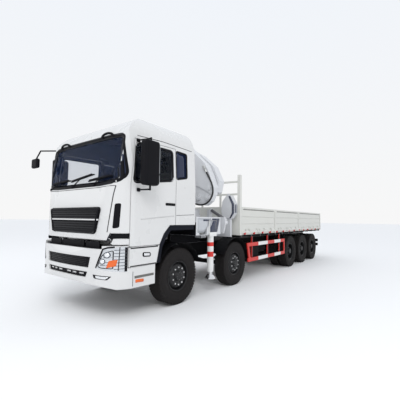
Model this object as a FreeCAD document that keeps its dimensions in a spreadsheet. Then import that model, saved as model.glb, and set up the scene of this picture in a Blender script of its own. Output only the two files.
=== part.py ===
import FreeCAD, Part
import math
import os

# Five-axle cab-over truck with a knuckle boom crane behind the cab.
# Millimetres. Front faces -Y, +X is the truck's left side, +Z is up.
# The origin is on the ground, at the centre of the plan outline.

Vector = FreeCAD.Vector

doc = FreeCAD.newDocument("knuckle_boom_crane_truck")
sheet = doc.addObject("Spreadsheet::Sheet", "Sizes")

# alias, value, what it is
SIZES = [
    ("tyre_radius", 548, "outer radius of every tyre"),
    ("tyre_width", 296, "section width of a tyre"),
    ("rim_radius", 286, "bead seat radius"),
    ("hub_bore", 62, "radius of the hub's bearing bore"),
    ("hub_play", 0.3, "radial running clearance of a hub"),
    ("front_track", 1035, "tyre centre of the steered wheels from the centre plane"),
    ("dual_centre", 915, "middle of a pair of rear tyres from the centre plane"),
    ("dual_spacing", 340, "distance between the two tyres of a pair"),
    ("axle_one", -4220, "first axle"),
    ("axle_two", -2024, "second axle"),
    ("axle_three", 1927, "third axle"),
    ("axle_pitch", 1349, "distance between the rear axles"),
    ("kingpin", 840, "kingpin from the centre plane"),
    ("rail_half", 430, "outer face of a frame rail from the centre plane"),
    ("rail_top", 1080, "top of the frame rails"),
    ("rail_height", 300, "height of a frame rail"),
    ("rail_flange", 90, "width of a rail's flange"),
    ("rail_wall", 12, "thickness of a rail"),
    ("frame_front", -5840, "front end of the frame rails"),
    ("frame_rear", 5880, "rear end of the frame rails"),
    ("rear_bar_y", 5890, "rear face of the rear under-run bar"),
    ("bed_half", 1250, "outer face of the side panels from the centre plane"),
    ("bed_front", -1850, "front of the load bed"),
    ("bed_rear", 5892, "outer face of the tailgate"),
    ("bed_floor", 1309, "top of the load floor"),
    ("bed_rail", 2012, "top edge of the side panels"),
    ("deck_thick", 48, "thickness of the load floor"),
    ("deck_bearer", 181, "height of the bearers between frame and floor"),
    ("panel_thick", 30, "thickness of a side panel"),
    ("panel_gap", 6, "clearance around a side panel"),
    ("post_width", 70, "width of the posts between side panels"),
    ("divider_one", 460, "centre of the first post between panels"),
    ("divider_two", 2770, "centre of the second post between panels"),
    ("hinge_out", 12, "panel hinge line outside the panel's face"),
    ("hinge_drop", 10, "panel hinge line below the load floor's top"),
    ("headboard_top", 2860, "top of the headboard posts"),
    ("headboard_bar", 2680, "centre height of the headboard's upper bar"),
    ("guard_x", 1205, "middle of the side guard rails from the centre plane"),
    ("guard_front", -1440, "front of the side guards"),
    ("guard_clear", 44, "space between the side guards and the third axle's tyres"),
    ("guard_low", 560, "centre height of the lower guard rail"),
    ("guard_high", 980, "centre height of the upper guard rail"),
    ("guard_depth", 100, "height of a guard rail"),
    ("cab_half", 1240, "half width of the cab"),
    ("cab_wall", 45, "thickness of the cab's walls and doors"),
    ("cab_front", -5820, "front face of the cab"),
    ("cab_rear", -3800, "rear face of the cab"),
    ("door_front", -5505, "front edge of the doors"),
    ("door_rear", -4410, "rear edge of the doors"),
    ("door_gap", 6, "clearance around a door"),
    ("tilt_y", -5720, "cab tilt pivot, along the truck"),
    ("tilt_z", 1200, "cab tilt pivot, above the ground"),
    ("glass_thick", 6, "thickness of the window glass"),
    ("bumper_front", -5920, "front face of the bumper"),
    ("bumper_wall", 28, "thickness of the bumper skin"),
    ("slew_x", 300, "slewing axis of the crane, from the centre plane"),
    ("slew_y", -2850, "slewing axis of the crane, along the truck"),
    ("box_low", 1320, "underside of the outrigger box"),
    ("box_high", 1720, "top of the outrigger box"),
    ("box_half", 1200, "ends of the outrigger box from the centre plane"),
    ("box_wall", 12, "wall of the outrigger box"),
    ("box_front", -3710, "front of the outrigger box"),
    ("box_rear", -2760, "rear of the outrigger box"),
    ("beam_width", 270, "width of an outrigger beam"),
    ("beam_height", 300, "height of an outrigger beam"),
    ("beam_left_y", -3100, "centre line of the left outrigger beam"),
    ("beam_right_y", -3450, "centre line of the right outrigger beam"),
    ("jack_inset", 50, "outrigger jack inside the end of the outrigger box"),
    ("jack_radius", 72, "outer radius of the jack's tube"),
    ("jack_low", 484, "lower end of the jack's tube"),
    ("foot_radius", 130, "radius of the jack's foot"),
    ("foot_low", 330, "underside of the foot when it is up"),
    ("boom_near", -3020, "front face of the inner boom and column"),
    ("boom_width", 220, "width of the inner boom and column"),
    ("boom_gap", 20, "space between the inner and the outer boom"),
    ("outer_width", 220, "width of the outer boom"),
    ("luff_x", -250, "lift hinge of the inner boom, from the centre plane"),
    ("luff_z", 3250, "lift hinge of the inner boom, above the ground"),
    ("fold_x", 1020, "knuckle hinge, from the centre plane"),
    ("fold_z", 2420, "knuckle hinge, above the ground"),
    ("pin_radius", 40, "radius of the boom hinge pins"),
    ("pin_play", 0.3, "radial clearance of the boom hinge pins"),
    ("extension_side", 130, "side of the square telescopic section"),
    ("slide_play", 6, "clearance round a telescopic section"),
    ("pad_play", 0.3, "clearance of a section on its slide pads"),
    ("lift_barrel_radius", 52, "outer radius of the lift cylinder"),
    ("lift_rod_radius", 30, "radius of the lift cylinder's rod"),
    ("tank_front", -2180, "front of the crane's oil tank"),
    ("tank_rear", -2020, "rear of the crane's oil tank"),
]
for row, (alias, value, meaning) in enumerate(SIZES, start=1):
    sheet.set("A%d" % row, meaning)
    sheet.set("B%d" % row, str(value))
    sheet.setAlias("B%d" % row, alias)
doc.recompute()


class Sheet_values:
    """The driving dimensions as plain numbers, read back from the sheet."""


v = Sheet_values()
for alias, value, meaning in SIZES:
    setattr(v, alias, float(sheet.get(alias)))
guard_rear = v.axle_three - v.tyre_radius - v.guard_clear
jack_x = v.box_half - v.jack_inset

nodes = []


def keep(node_object, label):
    """Give a finished sub-part its node name."""
    node_object.Label = label
    nodes.append(node_object)
    return node_object


# Shapes made straight from Part's functions

def block(x, y, z):
    """Box between the low and high value of each axis."""
    corner = Vector(min(x), min(y), min(z))
    return Part.makeBox(abs(x[1] - x[0]), abs(y[1] - y[0]), abs(z[1] - z[0]), corner)


def rod(start, end, radius):
    """Cylinder from one point to another."""
    a = Vector(*start)
    b = Vector(*end)
    return Part.makeCylinder(radius, (b - a).Length, a, b - a)


def place(plane, pair, depth):
    """Point of a profile: the pair lies in the plane and depth is along its normal."""
    if plane == "XZ":
        return Vector(pair[0], depth, pair[1])
    if plane == "YZ":
        return Vector(depth, pair[0], pair[1])
    return Vector(pair[0], pair[1], depth)


def wire_of(plane, points, depth):
    """Closed wire in a plane. A pair of pairs in the list is an arc: a point on the way, then its end."""
    edges = []
    last = points[0]
    for item in points[1:] + [points[0]]:
        start = place(plane, last, depth)
        if isinstance(item[0], tuple):
            middle, end = item
            edges.append(Part.Arc(start, place(plane, middle, depth), place(plane, end, depth)).toShape())
        else:
            end = item
            edges.append(Part.makeLine(start, place(plane, end, depth)))
        last = end
    return Part.Wire(edges)


def prism(plane, points, low, high):
    """Outline in a plane, drawn out from low to high along the plane's normal."""
    face = Part.Face(wire_of(plane, points, low))
    return face.extrude(place(plane, (0, 0), high) - place(plane, (0, 0), low))


def rounded(points, radius):
    """Polygon with each corner turned into an arc."""
    made = []
    for index, corner in enumerate(points):
        before = Vector(*points[index - 1], 0) - Vector(*corner, 0)
        after = Vector(*points[(index + 1) % len(points)], 0) - Vector(*corner, 0)
        half_angle = before.getAngle(after) / 2
        reach = min(radius / math.tan(half_angle), 0.45 * before.Length, 0.45 * after.Length)
        if 2 * half_angle > 2.7:
            made.append(corner)
            continue
        bisector = (before.normalize() + after.normalize()).normalize()
        depth = reach / math.cos(half_angle) - reach * math.tan(half_angle)
        start = (corner[0] + before.x * reach, corner[1] + before.y * reach)
        middle = (corner[0] + bisector.x * depth, corner[1] + bisector.y * depth)
        end = (corner[0] + after.x * reach, corner[1] + after.y * reach)
        made.extend([start, (middle, end)])
    return made


def join(shapes):
    """One shape from touching or overlapping shapes."""
    whole = shapes[0].fuse(shapes[1:]) if len(shapes) > 1 else shapes[0]
    return whole.removeSplitter()


def group(shapes):
    """Separate solids that share a node."""
    return Part.makeCompound(shapes)


def mirrored(shape):
    """The same shape on the other side of the truck."""
    return shape.mirror(Vector(0, 0, 0), Vector(1, 0, 0))


def feature(label, shape):
    """Sub-part whose shape comes from Part's functions."""
    part = doc.addObject("Part::Feature", label)
    part.Shape = shape
    return keep(part, label)


# Sub-parts made as bodies with sketches

def origin_plane(body, role):
    for item in body.Origin.OriginFeatures:
        if item.Role == role:
            return item
    return None


def draw(body, name, role, loops, offset=0.0):
    """Closed polygons in a sketch on one of the body's own planes."""
    sketch = body.newObject("Sketcher::SketchObject", name)
    sketch.AttachmentSupport = [(origin_plane(body, role), "")]
    sketch.MapMode = "FlatFace"
    sketch.AttachmentOffset = FreeCAD.Placement(Vector(0, 0, offset), FreeCAD.Rotation())
    for loop in loops:
        for start, end in zip(loop, loop[1:] + loop[:1]):
            line = Part.LineSegment(Vector(start[0], start[1], 0), Vector(end[0], end[1], 0))
            sketch.addGeometry(line, False)
    return sketch


def padded_body(label, role, loops, offset, length_expression):
    """Body padded from a profile. XZ profiles pad towards -Y, YZ profiles towards +X."""
    body = doc.addObject("PartDesign::Body", label)
    sketch = draw(body, label + "_profile", role, loops, offset)
    pad = body.newObject("PartDesign::Pad", label + "_pad")
    pad.Profile = sketch
    pad.setExpression("Length", length_expression)
    doc.recompute()
    return body


def bound_box(name, x, y, z):
    """Part box whose corner and size follow sheet expressions."""
    box = doc.addObject("Part::Box", name)
    box.setExpression("Placement.Base.x", x[0])
    box.setExpression("Placement.Base.y", y[0])
    box.setExpression("Placement.Base.z", z[0])
    box.setExpression("Length", "(%s) - (%s)" % (x[1], x[0]))
    box.setExpression("Width", "(%s) - (%s)" % (y[1], y[0]))
    box.setExpression("Height", "(%s) - (%s)" % (z[1], z[0]))
    return box


# Wheels. A profile is turned about the X axis and set on its axle.

AXLES = [v.axle_one, v.axle_two, v.axle_three,
         v.axle_three + v.axle_pitch, v.axle_three + 2 * v.axle_pitch]


def turned(profile, centre_x, y):
    """Solid turned about a wheel's axis; profile points are (x from centre, radius)."""
    corners = [Vector(centre_x + p[0], y, v.tyre_radius + p[1]) for p in profile]
    face = Part.Face(Part.makePolygon(corners + [corners[0]]))
    return face.revolve(Vector(0, y, v.tyre_radius), Vector(1, 0, 0), 360)


def tyre(centre_x, y):
    half = v.tyre_width / 2
    tread = half - 26
    shoulder = v.tyre_radius - 14
    bulge = (v.tyre_radius + v.rim_radius) / 2
    bead = v.rim_radius + 1
    profile = [(-half + 38, bead), (-half, bulge), (-half + 10, shoulder), (-tread, v.tyre_radius),
               (tread, v.tyre_radius), (half - 10, shoulder), (half, bulge), (half - 38, bead)]
    return turned(profile, centre_x, y)


def rim(centre_x, y, side, dish):
    """Rim barrel with its disc; dish is how far the disc stands outboard of the middle."""
    barrel = v.tyre_width / 2 - 34
    bore = v.hub_bore
    wall = 12
    seat = v.rim_radius
    disc = dish
    profile = [(-barrel, seat), (-barrel, seat - wall), (disc - 70, seat - wall - 24),
               (disc - wall, 200), (disc - wall, bore), (disc, bore), (disc, 205),
               (disc - 58, seat - wall), (barrel, seat - wall), (barrel, seat)]
    return turned([(side * px, pr) for px, pr in profile], centre_x, y)


def hub(inner_x, outer_x, y):
    """Hub drum with its bearing bore, between two x values."""
    low, high = sorted((inner_x, outer_x))
    return turned([(low, v.hub_bore), (high, v.hub_bore), (high, 140), (low, 140)], 0, y)


for side_name, side in (("left", 1), ("right", -1)):
    for number in (1, 2):
        y = AXLES[number - 1]
        middle = side * v.front_track
        disc = middle + side * 108
        wheel_rim = rim(middle, y, side, 120)
        drum = hub(middle - side * 40, disc, y)
        cap = turned([(side * 119, 0.01), (side * 170, 0.01), (side * 170, 70), (side * 119, 96)], middle, y)
        feature("wheel_%d_%s" % (number, side_name),
                group([tyre(middle, y), join([wheel_rim, drum, cap])]))
    for number in (3, 4, 5):
        y = AXLES[number - 1]
        outer = side * (v.dual_centre + v.dual_spacing / 2)
        inner = side * (v.dual_centre - v.dual_spacing / 2)
        outer_rim = rim(outer, y, -side, 120)
        inner_rim = rim(inner, y, side, 120)
        drum = hub(inner - side * 20, outer + side * 60, y)
        cap = turned([(side * 60, 0.01), (side * 118, 0.01), (side * 110, 90), (side * 60, 110)], outer, y)
        feature("wheel_%d_%s" % (number, side_name),
                group([tyre(outer, y), tyre(inner, y), join([outer_rim, inner_rim, drum, cap])]))

# Axles, kingpins and springs

wheel_z = v.tyre_radius
rail_low = v.rail_top - v.rail_height
spring_x = v.rail_half - 45
stub = v.hub_bore - v.hub_play


def leaf_spring(x, y, half_length, seat_z):
    """Leaf pack from shackle to shackle, with the clamp that seats it on its axle."""
    width = 40
    arc = [(y - half_length, rail_low - 60), (y - half_length / 2, rail_low - 150),
           (y, rail_low - 175), (y + half_length / 2, rail_low - 150), (y + half_length, rail_low - 60)]
    lower = [(p[0], p[1] - 36) for p in reversed(arc)]
    pack = prism("YZ", arc + lower, x - width, x + width)
    front = block((x - width, x + width), (y - half_length, y - half_length + 60), (rail_low - 96, rail_low))
    rear = block((x - width, x + width), (y + half_length - 60, y + half_length), (rail_low - 96, rail_low))
    clamp = block((x - width - 6, x + width + 6), (y - 70, y + 70), (seat_z, rail_low - 190))
    return [pack, front, rear, clamp]


beams = []
for y in AXLES[:2]:
    pieces = [block((-v.kingpin + 30, v.kingpin - 30), (y - 50, y + 50), (wheel_z - 68, wheel_z + 28))]
    for side in (1, -1):
        eye_x = side * v.kingpin
        pieces.append(rod((eye_x, y, wheel_z - 70), (eye_x, y, wheel_z + 70), 48))
        pieces.append(rod((eye_x, y, wheel_z - 130), (eye_x, y, wheel_z + 130), 20))
        pieces.extend(leaf_spring(side * spring_x, y, 640, wheel_z - 30))
    beams.append(join(pieces))
feature("front_axles", group(beams))

rear = []
for y in AXLES[2:]:
    pieces = [rod((-610, y, wheel_z), (610, y, wheel_z), 78), rod((-1010, y, wheel_z), (1010, y, wheel_z), stub)]
    pieces.append(rod((-110, y, wheel_z), (110, y, wheel_z), 205))
    for side in (1, -1):
        pieces.extend(leaf_spring(side * spring_x, y, 560, wheel_z + 20))
    rear.append(join(pieces))
feature("rear_axles", group(rear))

for side_name, side in (("left", 1), ("right", -1)):
    for number in (1, 2):
        y = AXLES[number - 1]
        x = side * v.kingpin
        ear = 0.3
        upper = rod((x, y, wheel_z + 70 + ear), (x, y, wheel_z + 125), 46)
        lower = rod((x, y, wheel_z - 125), (x, y, wheel_z - 70 - ear), 46)
        web = block((x + side * 49, x + side * 95), (y - 46, y + 46), (wheel_z - 125, wheel_z + 125))
        top_arm = block((x, x + side * 60), (y - 46, y + 46), (wheel_z + 70 + ear, wheel_z + 125))
        low_arm = block((x, x + side * 60), (y - 46, y + 46), (wheel_z - 125, wheel_z - 70 - ear))
        shaft = rod((x + side * 90, y, wheel_z), (side * (v.front_track + 100), y, wheel_z), stub)
        knuckle = join([upper, lower, web, top_arm, low_arm, shaft])
        pin_hole = rod((x, y, wheel_z - 140), (x, y, wheel_z + 140), 20.3)
        feature("knuckle_%d_%s" % (number, side_name), knuckle.cut(pin_hole))

# Frame: two channel rails, cross members, rear bar and the cab's tilt lugs

rail_parts = []
for side_name, side in (("left", 1), ("right", -1)):
    near = "Sizes.rail_half" if side > 0 else "-Sizes.rail_half + Sizes.rail_flange"
    far = "Sizes.rail_half - Sizes.rail_flange" if side > 0 else "-Sizes.rail_half"
    outer_box = bound_box("rail_outer_" + side_name, (far, near), ("Sizes.frame_front", "Sizes.frame_rear"),
                          ("Sizes.rail_top - Sizes.rail_height", "Sizes.rail_top"))
    inner_low = far + " - 1" if side > 0 else far + " + Sizes.rail_wall"
    inner_high = near + " - Sizes.rail_wall" if side > 0 else near + " + 1"
    inner_box = bound_box("rail_inner_" + side_name, (inner_low, inner_high),
                          ("Sizes.frame_front - 1", "Sizes.frame_rear + 1"),
                          ("Sizes.rail_top - Sizes.rail_height + Sizes.rail_wall",
                           "Sizes.rail_top - Sizes.rail_wall"))
    channel = doc.addObject("Part::Cut", "rail_" + side_name)
    channel.Base = outer_box
    channel.Tool = inner_box
    rail_parts.append(channel)

rear_cross_count = 10
cross_front = v.frame_front + 120
cross_ahead = v.axle_one - 890
cross_behind = v.axle_one + 340
cross_step = (v.frame_rear - 60 - cross_behind) / (rear_cross_count - 1)
CROSS_MEMBERS = [cross_front, cross_ahead] + [cross_behind + n * cross_step for n in range(rear_cross_count)]
for number, cross_y in enumerate(CROSS_MEMBERS):
    centre = "%.1f" % cross_y
    cross = bound_box("cross_member_%d" % (number + 1),
                      ("-Sizes.rail_half + Sizes.rail_wall / 2", "Sizes.rail_half - Sizes.rail_wall / 2"),
                      (centre + " - 40", centre + " + 40"),
                      ("Sizes.rail_top - Sizes.rail_height + 70", "Sizes.rail_top - 70"))
    rail_parts.append(cross)

rear_bar = bound_box("rear_bar", ("-1120", "1120"), ("Sizes.rear_bar_y - 80", "Sizes.rear_bar_y"), ("500", "620"))
rail_parts.append(rear_bar)
for side in (1, -1):
    low = "%d" % (side * 400 - 30)
    high = "%d" % (side * 400 + 30)
    hanger = bound_box("rear_bar_hanger", (low, high), ("Sizes.rear_bar_y - 80", "Sizes.rear_bar_y - 20"),
                       ("560", "Sizes.rail_top - 20"))
    rail_parts.append(hanger)
    for lug_side in (1, -1):
        lug_x = side * 385 + lug_side * 29
        lug = bound_box("tilt_lug", ("%d" % (lug_x - 8), "%d" % (lug_x + 8)),
                        ("Sizes.tilt_y - 35", "Sizes.tilt_y + 35"),
                        ("Sizes.rail_top - 60", "Sizes.tilt_z + 35"))
        rail_parts.append(lug)
    pin = doc.addObject("Part::Cylinder", "tilt_pin")
    pin.Radius = 14
    pin.Height = 74
    pin.Placement = FreeCAD.Placement(Vector(side * 385 - 37, v.tilt_y, v.tilt_z),
                                      FreeCAD.Rotation(Vector(0, 1, 0), 90))
    rail_parts.append(pin)

frame = doc.addObject("Part::MultiFuse", "chassis_frame")
frame.Shapes = rail_parts
keep(frame, "chassis_frame")

engine = bound_box("engine_block", ("-Sizes.rail_half + Sizes.rail_flange", "Sizes.rail_half - Sizes.rail_flange"),
                   ("Sizes.axle_one - 820", "Sizes.axle_one + 280"), ("700", "Sizes.rail_top + 70"))
keep(engine, "engine_block")

# Fuel tank on the right, battery box and air tanks on the left, hung on the rails

tank_low = 520
fuel = block((-1130, -560), (-1180, 250), (tank_low, 1010))
fuel = fuel.makeFillet(90, [e for e in fuel.Edges if abs(e.Vertexes[0].X - e.Vertexes[1].X) < 1
                            and abs(e.Vertexes[0].Z - e.Vertexes[1].Z) < 1])
strap_one = block((-560, -v.rail_half), (-900, -820), (820, 900))
strap_two = block((-560, -v.rail_half), (-120, -40), (820, 900))
battery = block((560, 1110), (-1180, -520), (600, 1000))
battery_arm = block((v.rail_half, 560), (-900, -820), (820, 900))
air = rod((720, -380, 760), (720, 520, 760), 140)
air_arm = block((v.rail_half, 640), (-20, 60), (820, 900))
feature("tanks", group([join([fuel, strap_one, strap_two]), join([battery, battery_arm]), join([air, air_arm])]))

# Mudguards over the steered wheels


def mudguard(side, y):
    radius = v.tyre_radius + 112
    outer = rod((side * 880, y, wheel_z), (side * 1215, y, wheel_z), radius)
    inner = rod((side * 870, y, wheel_z), (side * 1225, y, wheel_z), radius - 6)
    shell = outer.cut(inner).cut(block((-1400, 1400), (y - 900, y + 900), (-200, wheel_z + 280)))
    arm = block((side * v.rail_half, side * 930), (y - 25, y + 25), (v.tyre_radius + wheel_z + 106, v.tyre_radius + wheel_z + 150))
    drop = block((side * v.rail_half, side * (v.rail_half + 30)), (y - 25, y + 25), (v.rail_top - 100, v.tyre_radius + wheel_z + 150))
    return join([shell, arm, drop])


feature("mudguards", group([mudguard(side, y) for side in (1, -1) for y in AXLES[:2]]))

# Side guards: two rails, a slanted front post and hangers from the bed bearers


def side_guard(side):
    x0 = side * v.guard_x - 15
    x1 = side * v.guard_x + 15
    half = v.guard_depth / 2
    rails = [block((x0, x1), (v.guard_front + 60, guard_rear), (z - half, z + half))
             for z in (v.guard_low, v.guard_high)]
    slant = [(v.guard_front, v.guard_high + half), (v.guard_front + 100, v.guard_high + half),
             (v.guard_front + 230, v.guard_low - half), (v.guard_front + 130, v.guard_low - half)]
    post = prism("YZ", slant, x0, x1)
    end_post = block((x0, x1), (guard_rear - 60, guard_rear), (v.guard_low - half, v.guard_high + half))
    hangers = []
    for place_y in (-1080, -20, 940):
        inner = side * (v.guard_x - 45)
        hangers.append(block((inner, side * (v.guard_x - 15)), (place_y - 25, place_y + 25),
                             (v.guard_low - half, v.bed_floor - v.deck_thick - 60)))
    return join(rails + [post, end_post] + hangers)


feature("side_guards", group([side_guard(1), side_guard(-1)]))

# Load bed: floor, bearers, cross members and posts

floor_low = v.bed_floor - v.deck_thick
inner_half = v.bed_half - v.panel_thick - v.panel_gap
post_in = v.bed_half - 80
post_back = v.bed_front + v.post_width - 30
floor = block((-inner_half, inner_half), (v.bed_front, v.bed_rear - v.panel_thick - v.panel_gap),
              (floor_low, v.bed_floor))
for side in (1, -1):
    floor = floor.cut(block((side * post_in, side * v.bed_half), (v.bed_front, post_back), (floor_low, v.bed_floor)))
bed_parts = [floor]
for side in (1, -1):
    bed_parts.append(block((side * (v.rail_half - 80), side * v.rail_half), (v.bed_front, v.bed_rear - 60),
                           (v.rail_top, floor_low)))
bearer_count = 14
for number in range(bearer_count):
    y = v.bed_front + 90 + number * (v.bed_rear - v.bed_front - 200) / (bearer_count - 1)
    bed_parts.append(block((-inner_half, inner_half), (y - 30, y + 30), (floor_low - 60, floor_low)))
POSTS = [v.bed_front + v.post_width / 2, v.divider_one, v.divider_two, v.bed_rear - v.post_width / 2]
for side in (1, -1):
    for y in POSTS[1:3]:
        bed_parts.append(block((side * (inner_half - 45), side * v.bed_half), (y - v.post_width / 2, y + v.post_width / 2),
                               (floor_low, v.bed_rail)))
    y = POSTS[3]
    bed_parts.append(block((side * (inner_half - 45), side * v.bed_half), (y - v.post_width / 2, y + v.post_width / 2),
                           (floor_low, v.bed_rail)))
PANELS = [
    ("1", v.bed_front + v.post_width - 30 + v.panel_gap, v.divider_one - v.post_width / 2 - v.panel_gap),
    ("2", v.divider_one + v.post_width / 2 + v.panel_gap, v.divider_two - v.post_width / 2 - v.panel_gap),
    ("3", v.divider_two + v.post_width / 2 + v.panel_gap, v.bed_rear - v.post_width - v.panel_gap),
]
HINGE_SHARES = (0.12, 0.5, 0.88)
GATE_HINGES = (-900, 0, 900)
eye_half = 40
lug_long = 24
lug_radius = 10
hinge_x = v.bed_half + v.hinge_out
hinge_y = v.bed_rear + v.hinge_out
hinge_z = v.bed_floor - v.hinge_drop
for side in (1, -1):
    for number, y0, y1 in PANELS:
        for share in HINGE_SHARES:
            y = y0 + share * (y1 - y0)
            for end in (1, -1):
                near = y + end * (eye_half + 0.3)
                far = near + end * lug_long
                bed_parts.append(rod((side * hinge_x, near, hinge_z), (side * hinge_x, far, hinge_z), lug_radius))
                bed_parts.append(block((side * (inner_half - 1), side * hinge_x), (near, far), (hinge_z - 22, hinge_z)))
for x in GATE_HINGES:
    for end in (1, -1):
        near = x + end * (eye_half + 0.3)
        far = near + end * lug_long
        bed_parts.append(rod((near, hinge_y, hinge_z), (far, hinge_y, hinge_z), lug_radius))
        bed_parts.append(block((near, far), (v.bed_rear - v.panel_thick - v.panel_gap - 1, hinge_y), (hinge_z - 22, hinge_z)))
feature("bed_deck", join(bed_parts))

# Headboard: two tall posts, cross bars and the ribbed lower wall

board_y = (v.bed_front - 50, v.bed_front)
board = [block((-v.bed_half, v.bed_half), board_y, (floor_low, v.bed_rail))]
for side in (1, -1):
    board.append(block((side * post_in, side * v.bed_half), (board_y[0], post_back), (floor_low, v.headboard_top)))
for z in (v.headboard_bar, (v.headboard_bar + v.bed_rail) / 2):
    board.append(block((-v.bed_half + 40, v.bed_half - 40), (v.bed_front - 40, v.bed_front - 5), (z - 25, z + 25)))
for x in (-620, 0, 620):
    board.append(block((x - 25, x + 25), (v.bed_front - 38, v.bed_front - 8), (v.bed_rail - 10, v.headboard_bar)))
feature("headboard", join(board))

# Drop sides, hinged at the lower outer edge

def ribbed_profile(side):
    """Section of a drop side: top rail, bottom rail and two pressed ribs between them."""
    inner = v.bed_half - v.panel_thick
    outer = v.bed_half
    web = inner + 12
    low = v.bed_floor
    high = v.bed_rail
    step = (high - low - 120) / 3
    points = [(inner, low), (outer, low), (outer, low + 60)]
    for number in range(3):
        z = low + 60 + number * step
        points.extend([(web + 4, z + 14), (web + 4, z + step - 14), (outer, z + step)])
    points.extend([(outer, high), (inner, high)])
    return [(side * px, pz) for px, pz in points]


for side_name, side in (("left", 1), ("right", -1)):
    for number, y0, y1 in PANELS:
        label = "side_%s_%s" % (side_name, number)
        panel = padded_body(label + "_panel", "XZ_Plane", [ribbed_profile(side)], -y1, "%s mm" % (y1 - y0)).Shape
        eyes = []
        for share in HINGE_SHARES:
            y = y0 + share * (y1 - y0)
            eye = rod((side * hinge_x, y - eye_half, hinge_z), (side * hinge_x, y + eye_half, hinge_z), 11)
            strap = block((side * (v.bed_half - 1), side * hinge_x), (y - eye_half, y + eye_half),
                          (hinge_z, hinge_z + 110))
            eyes.extend([eye, strap])
        feature(label, join([panel] + eyes))

gate_half = inner_half - 51
gate_y = (v.bed_rear - v.panel_thick, v.bed_rear)
gate = [block((-gate_half, gate_half), gate_y, (v.bed_floor, v.bed_rail))]
for x in GATE_HINGES:
    gate.append(rod((x - eye_half, hinge_y, hinge_z), (x + eye_half, hinge_y, hinge_z), 11))
    gate.append(block((x - eye_half, x + eye_half), (v.bed_rear - 1, hinge_y), (hinge_z, hinge_z + 110)))
feature("tailgate", join(gate))

# Cab outline. Each list gives the outline in one view; the cab is what all three have in common.

f = v.cab_front
sill = 1200
arch_top = 1550


CORNER_LOW = 1240


def cab_solid(inset):
    """Closed cab form, shrunk by inset on every side."""
    i = inset
    front = f + i
    rear = v.cab_rear - i
    half = v.cab_half - i
    low_front = v.door_front - 5 + i
    side_view = [(front, CORNER_LOW + i), (front, 1480), (front + 55, 2190), (front + 120, 2260), (front + 240, 3110),
                 ((front + 400, 3330 - i), (front + 760, 3500 - i)), ((front + 1250, 3595 - i), (f + 1750, 3580 - i)),
                 ((f + 1890 - 0.7 * i, 3500 - 0.7 * i), (f + 1945 - i, 3330)), (rear, 3080), (rear, arch_top + i),
                 (-4560, arch_top + i), (-4726 - i / 2, 1390 + i), (-4830 - i, sill + i), (low_front, sill + i),
                 (low_front, CORNER_LOW + i)]
    corner = ((1105 - 0.7 * i, f + 150 + 0.7 * i), (half, f + 400))
    plan = [(-half, v.cab_rear + 60), (-half, f + 400),
            ((-1105 + 0.7 * i, f + 150 + 0.7 * i), (-860, f + 38 + i)),
            ((0, f + i), (860, f + 38 + i)), corner, (half, v.cab_rear + 60),
            ((half - 22, v.cab_rear + 22), (half - 80, v.cab_rear)), (-half + 80, v.cab_rear)]
    front_view = [(half, 700), (half, 2350), (1196 - i, 3130), ((1130 - i, 3360 - i), (880 - i, 3505 - i)),
                  ((0, 3612 - i), (-880 + i, 3505 - i)), ((-1130 + i, 3360 - i), (-1196 + i, 3130)),
                  (-half, 2350), (-half, 700)]
    body = prism("YZ", side_view, -1300, 1300)
    notch = [(-1105 - i, sill), (-960 - i, 1310 + i), (960 + i, 1310 + i), (1105 + i, sill)]
    body = body.common(prism("XY", plan, 900, 3700)).cut(prism("XZ", notch, f - 200, low_front))
    return body.common(prism("XZ", front_view, f - 200, v.cab_rear + 200))


outer_cab = cab_solid(0)
inner_cab = cab_solid(v.cab_wall)
shell = outer_cab.cut(inner_cab)

DOOR = [(v.door_front, sill), (-4830, sill), (-4726, 1390), (-4570, 1540), (v.door_rear, 1545),
        (v.door_rear, 3040), (v.door_front + 70, 3030), (v.door_front, 2240)]
DOOR_WINDOW = [(v.door_front + 105, 2960), (v.door_rear - 90, 2975), (v.door_rear - 90, 2400),
               (v.door_front + 50, 2270)]
REAR_WINDOW = [(-4390, 3000), (-4070, 2990), (-4075, 2500), (-4390, 2440)]
WINDSCREEN = [(-1120, 2300), (-700, 2262), (700, 2262), (1120, 2300), (1085, 3060), (700, 3085), (-700, 3085), (-1085, 3060)]
GRILLE = [(-810, 1838), (810, 1838), (700, 1415), (-700, 1415)]
BAND = [(955, 1306), (1010, 1425), (1300, 1425), (1300, 1335), (1060, 1335), (1020, 1255)]


def grown(points, margin):
    """Outline moved outwards from its centre by about the margin."""
    cx = sum(p[0] for p in points) / len(points)
    cy = sum(p[1] for p in points) / len(points)
    moved = []
    for px, py in points:
        moved.append((px + margin * math.copysign(1, px - cx), py + margin * math.copysign(1, py - cy)))
    return moved


windscreen_tool = prism("XZ", rounded(WINDSCREEN, 70), f - 100, f + 420)
grille_tool = prism("XZ", rounded(GRILLE, 40), f - 100, f + 100)
shell = shell.cut(windscreen_tool).cut(grille_tool)
band_layer = outer_cab.cut(cab_solid(22))
for side in (1, -1):
    band = [(side * px, pz) for px, pz in BAND]
    shell = shell.cut(band_layer.common(prism("XZ", band, f - 100, v.door_front - 4)))
door_solids = {}
for side_name, side in (("left", 1), ("right", -1)):
    low, high = side * 1080, side * 1300
    opening = prism("YZ", DOOR, low, high)
    leaf_tool = prism("YZ", grown(DOOR, -v.door_gap), side * 1080, side * 1300)
    leaf = shell.common(leaf_tool)
    door_solids[side_name] = leaf.cut(prism("YZ", rounded(DOOR_WINDOW, 60), low, high))
    shell = shell.cut(opening).cut(prism("YZ", rounded(REAR_WINDOW, 40), low, high))

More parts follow.
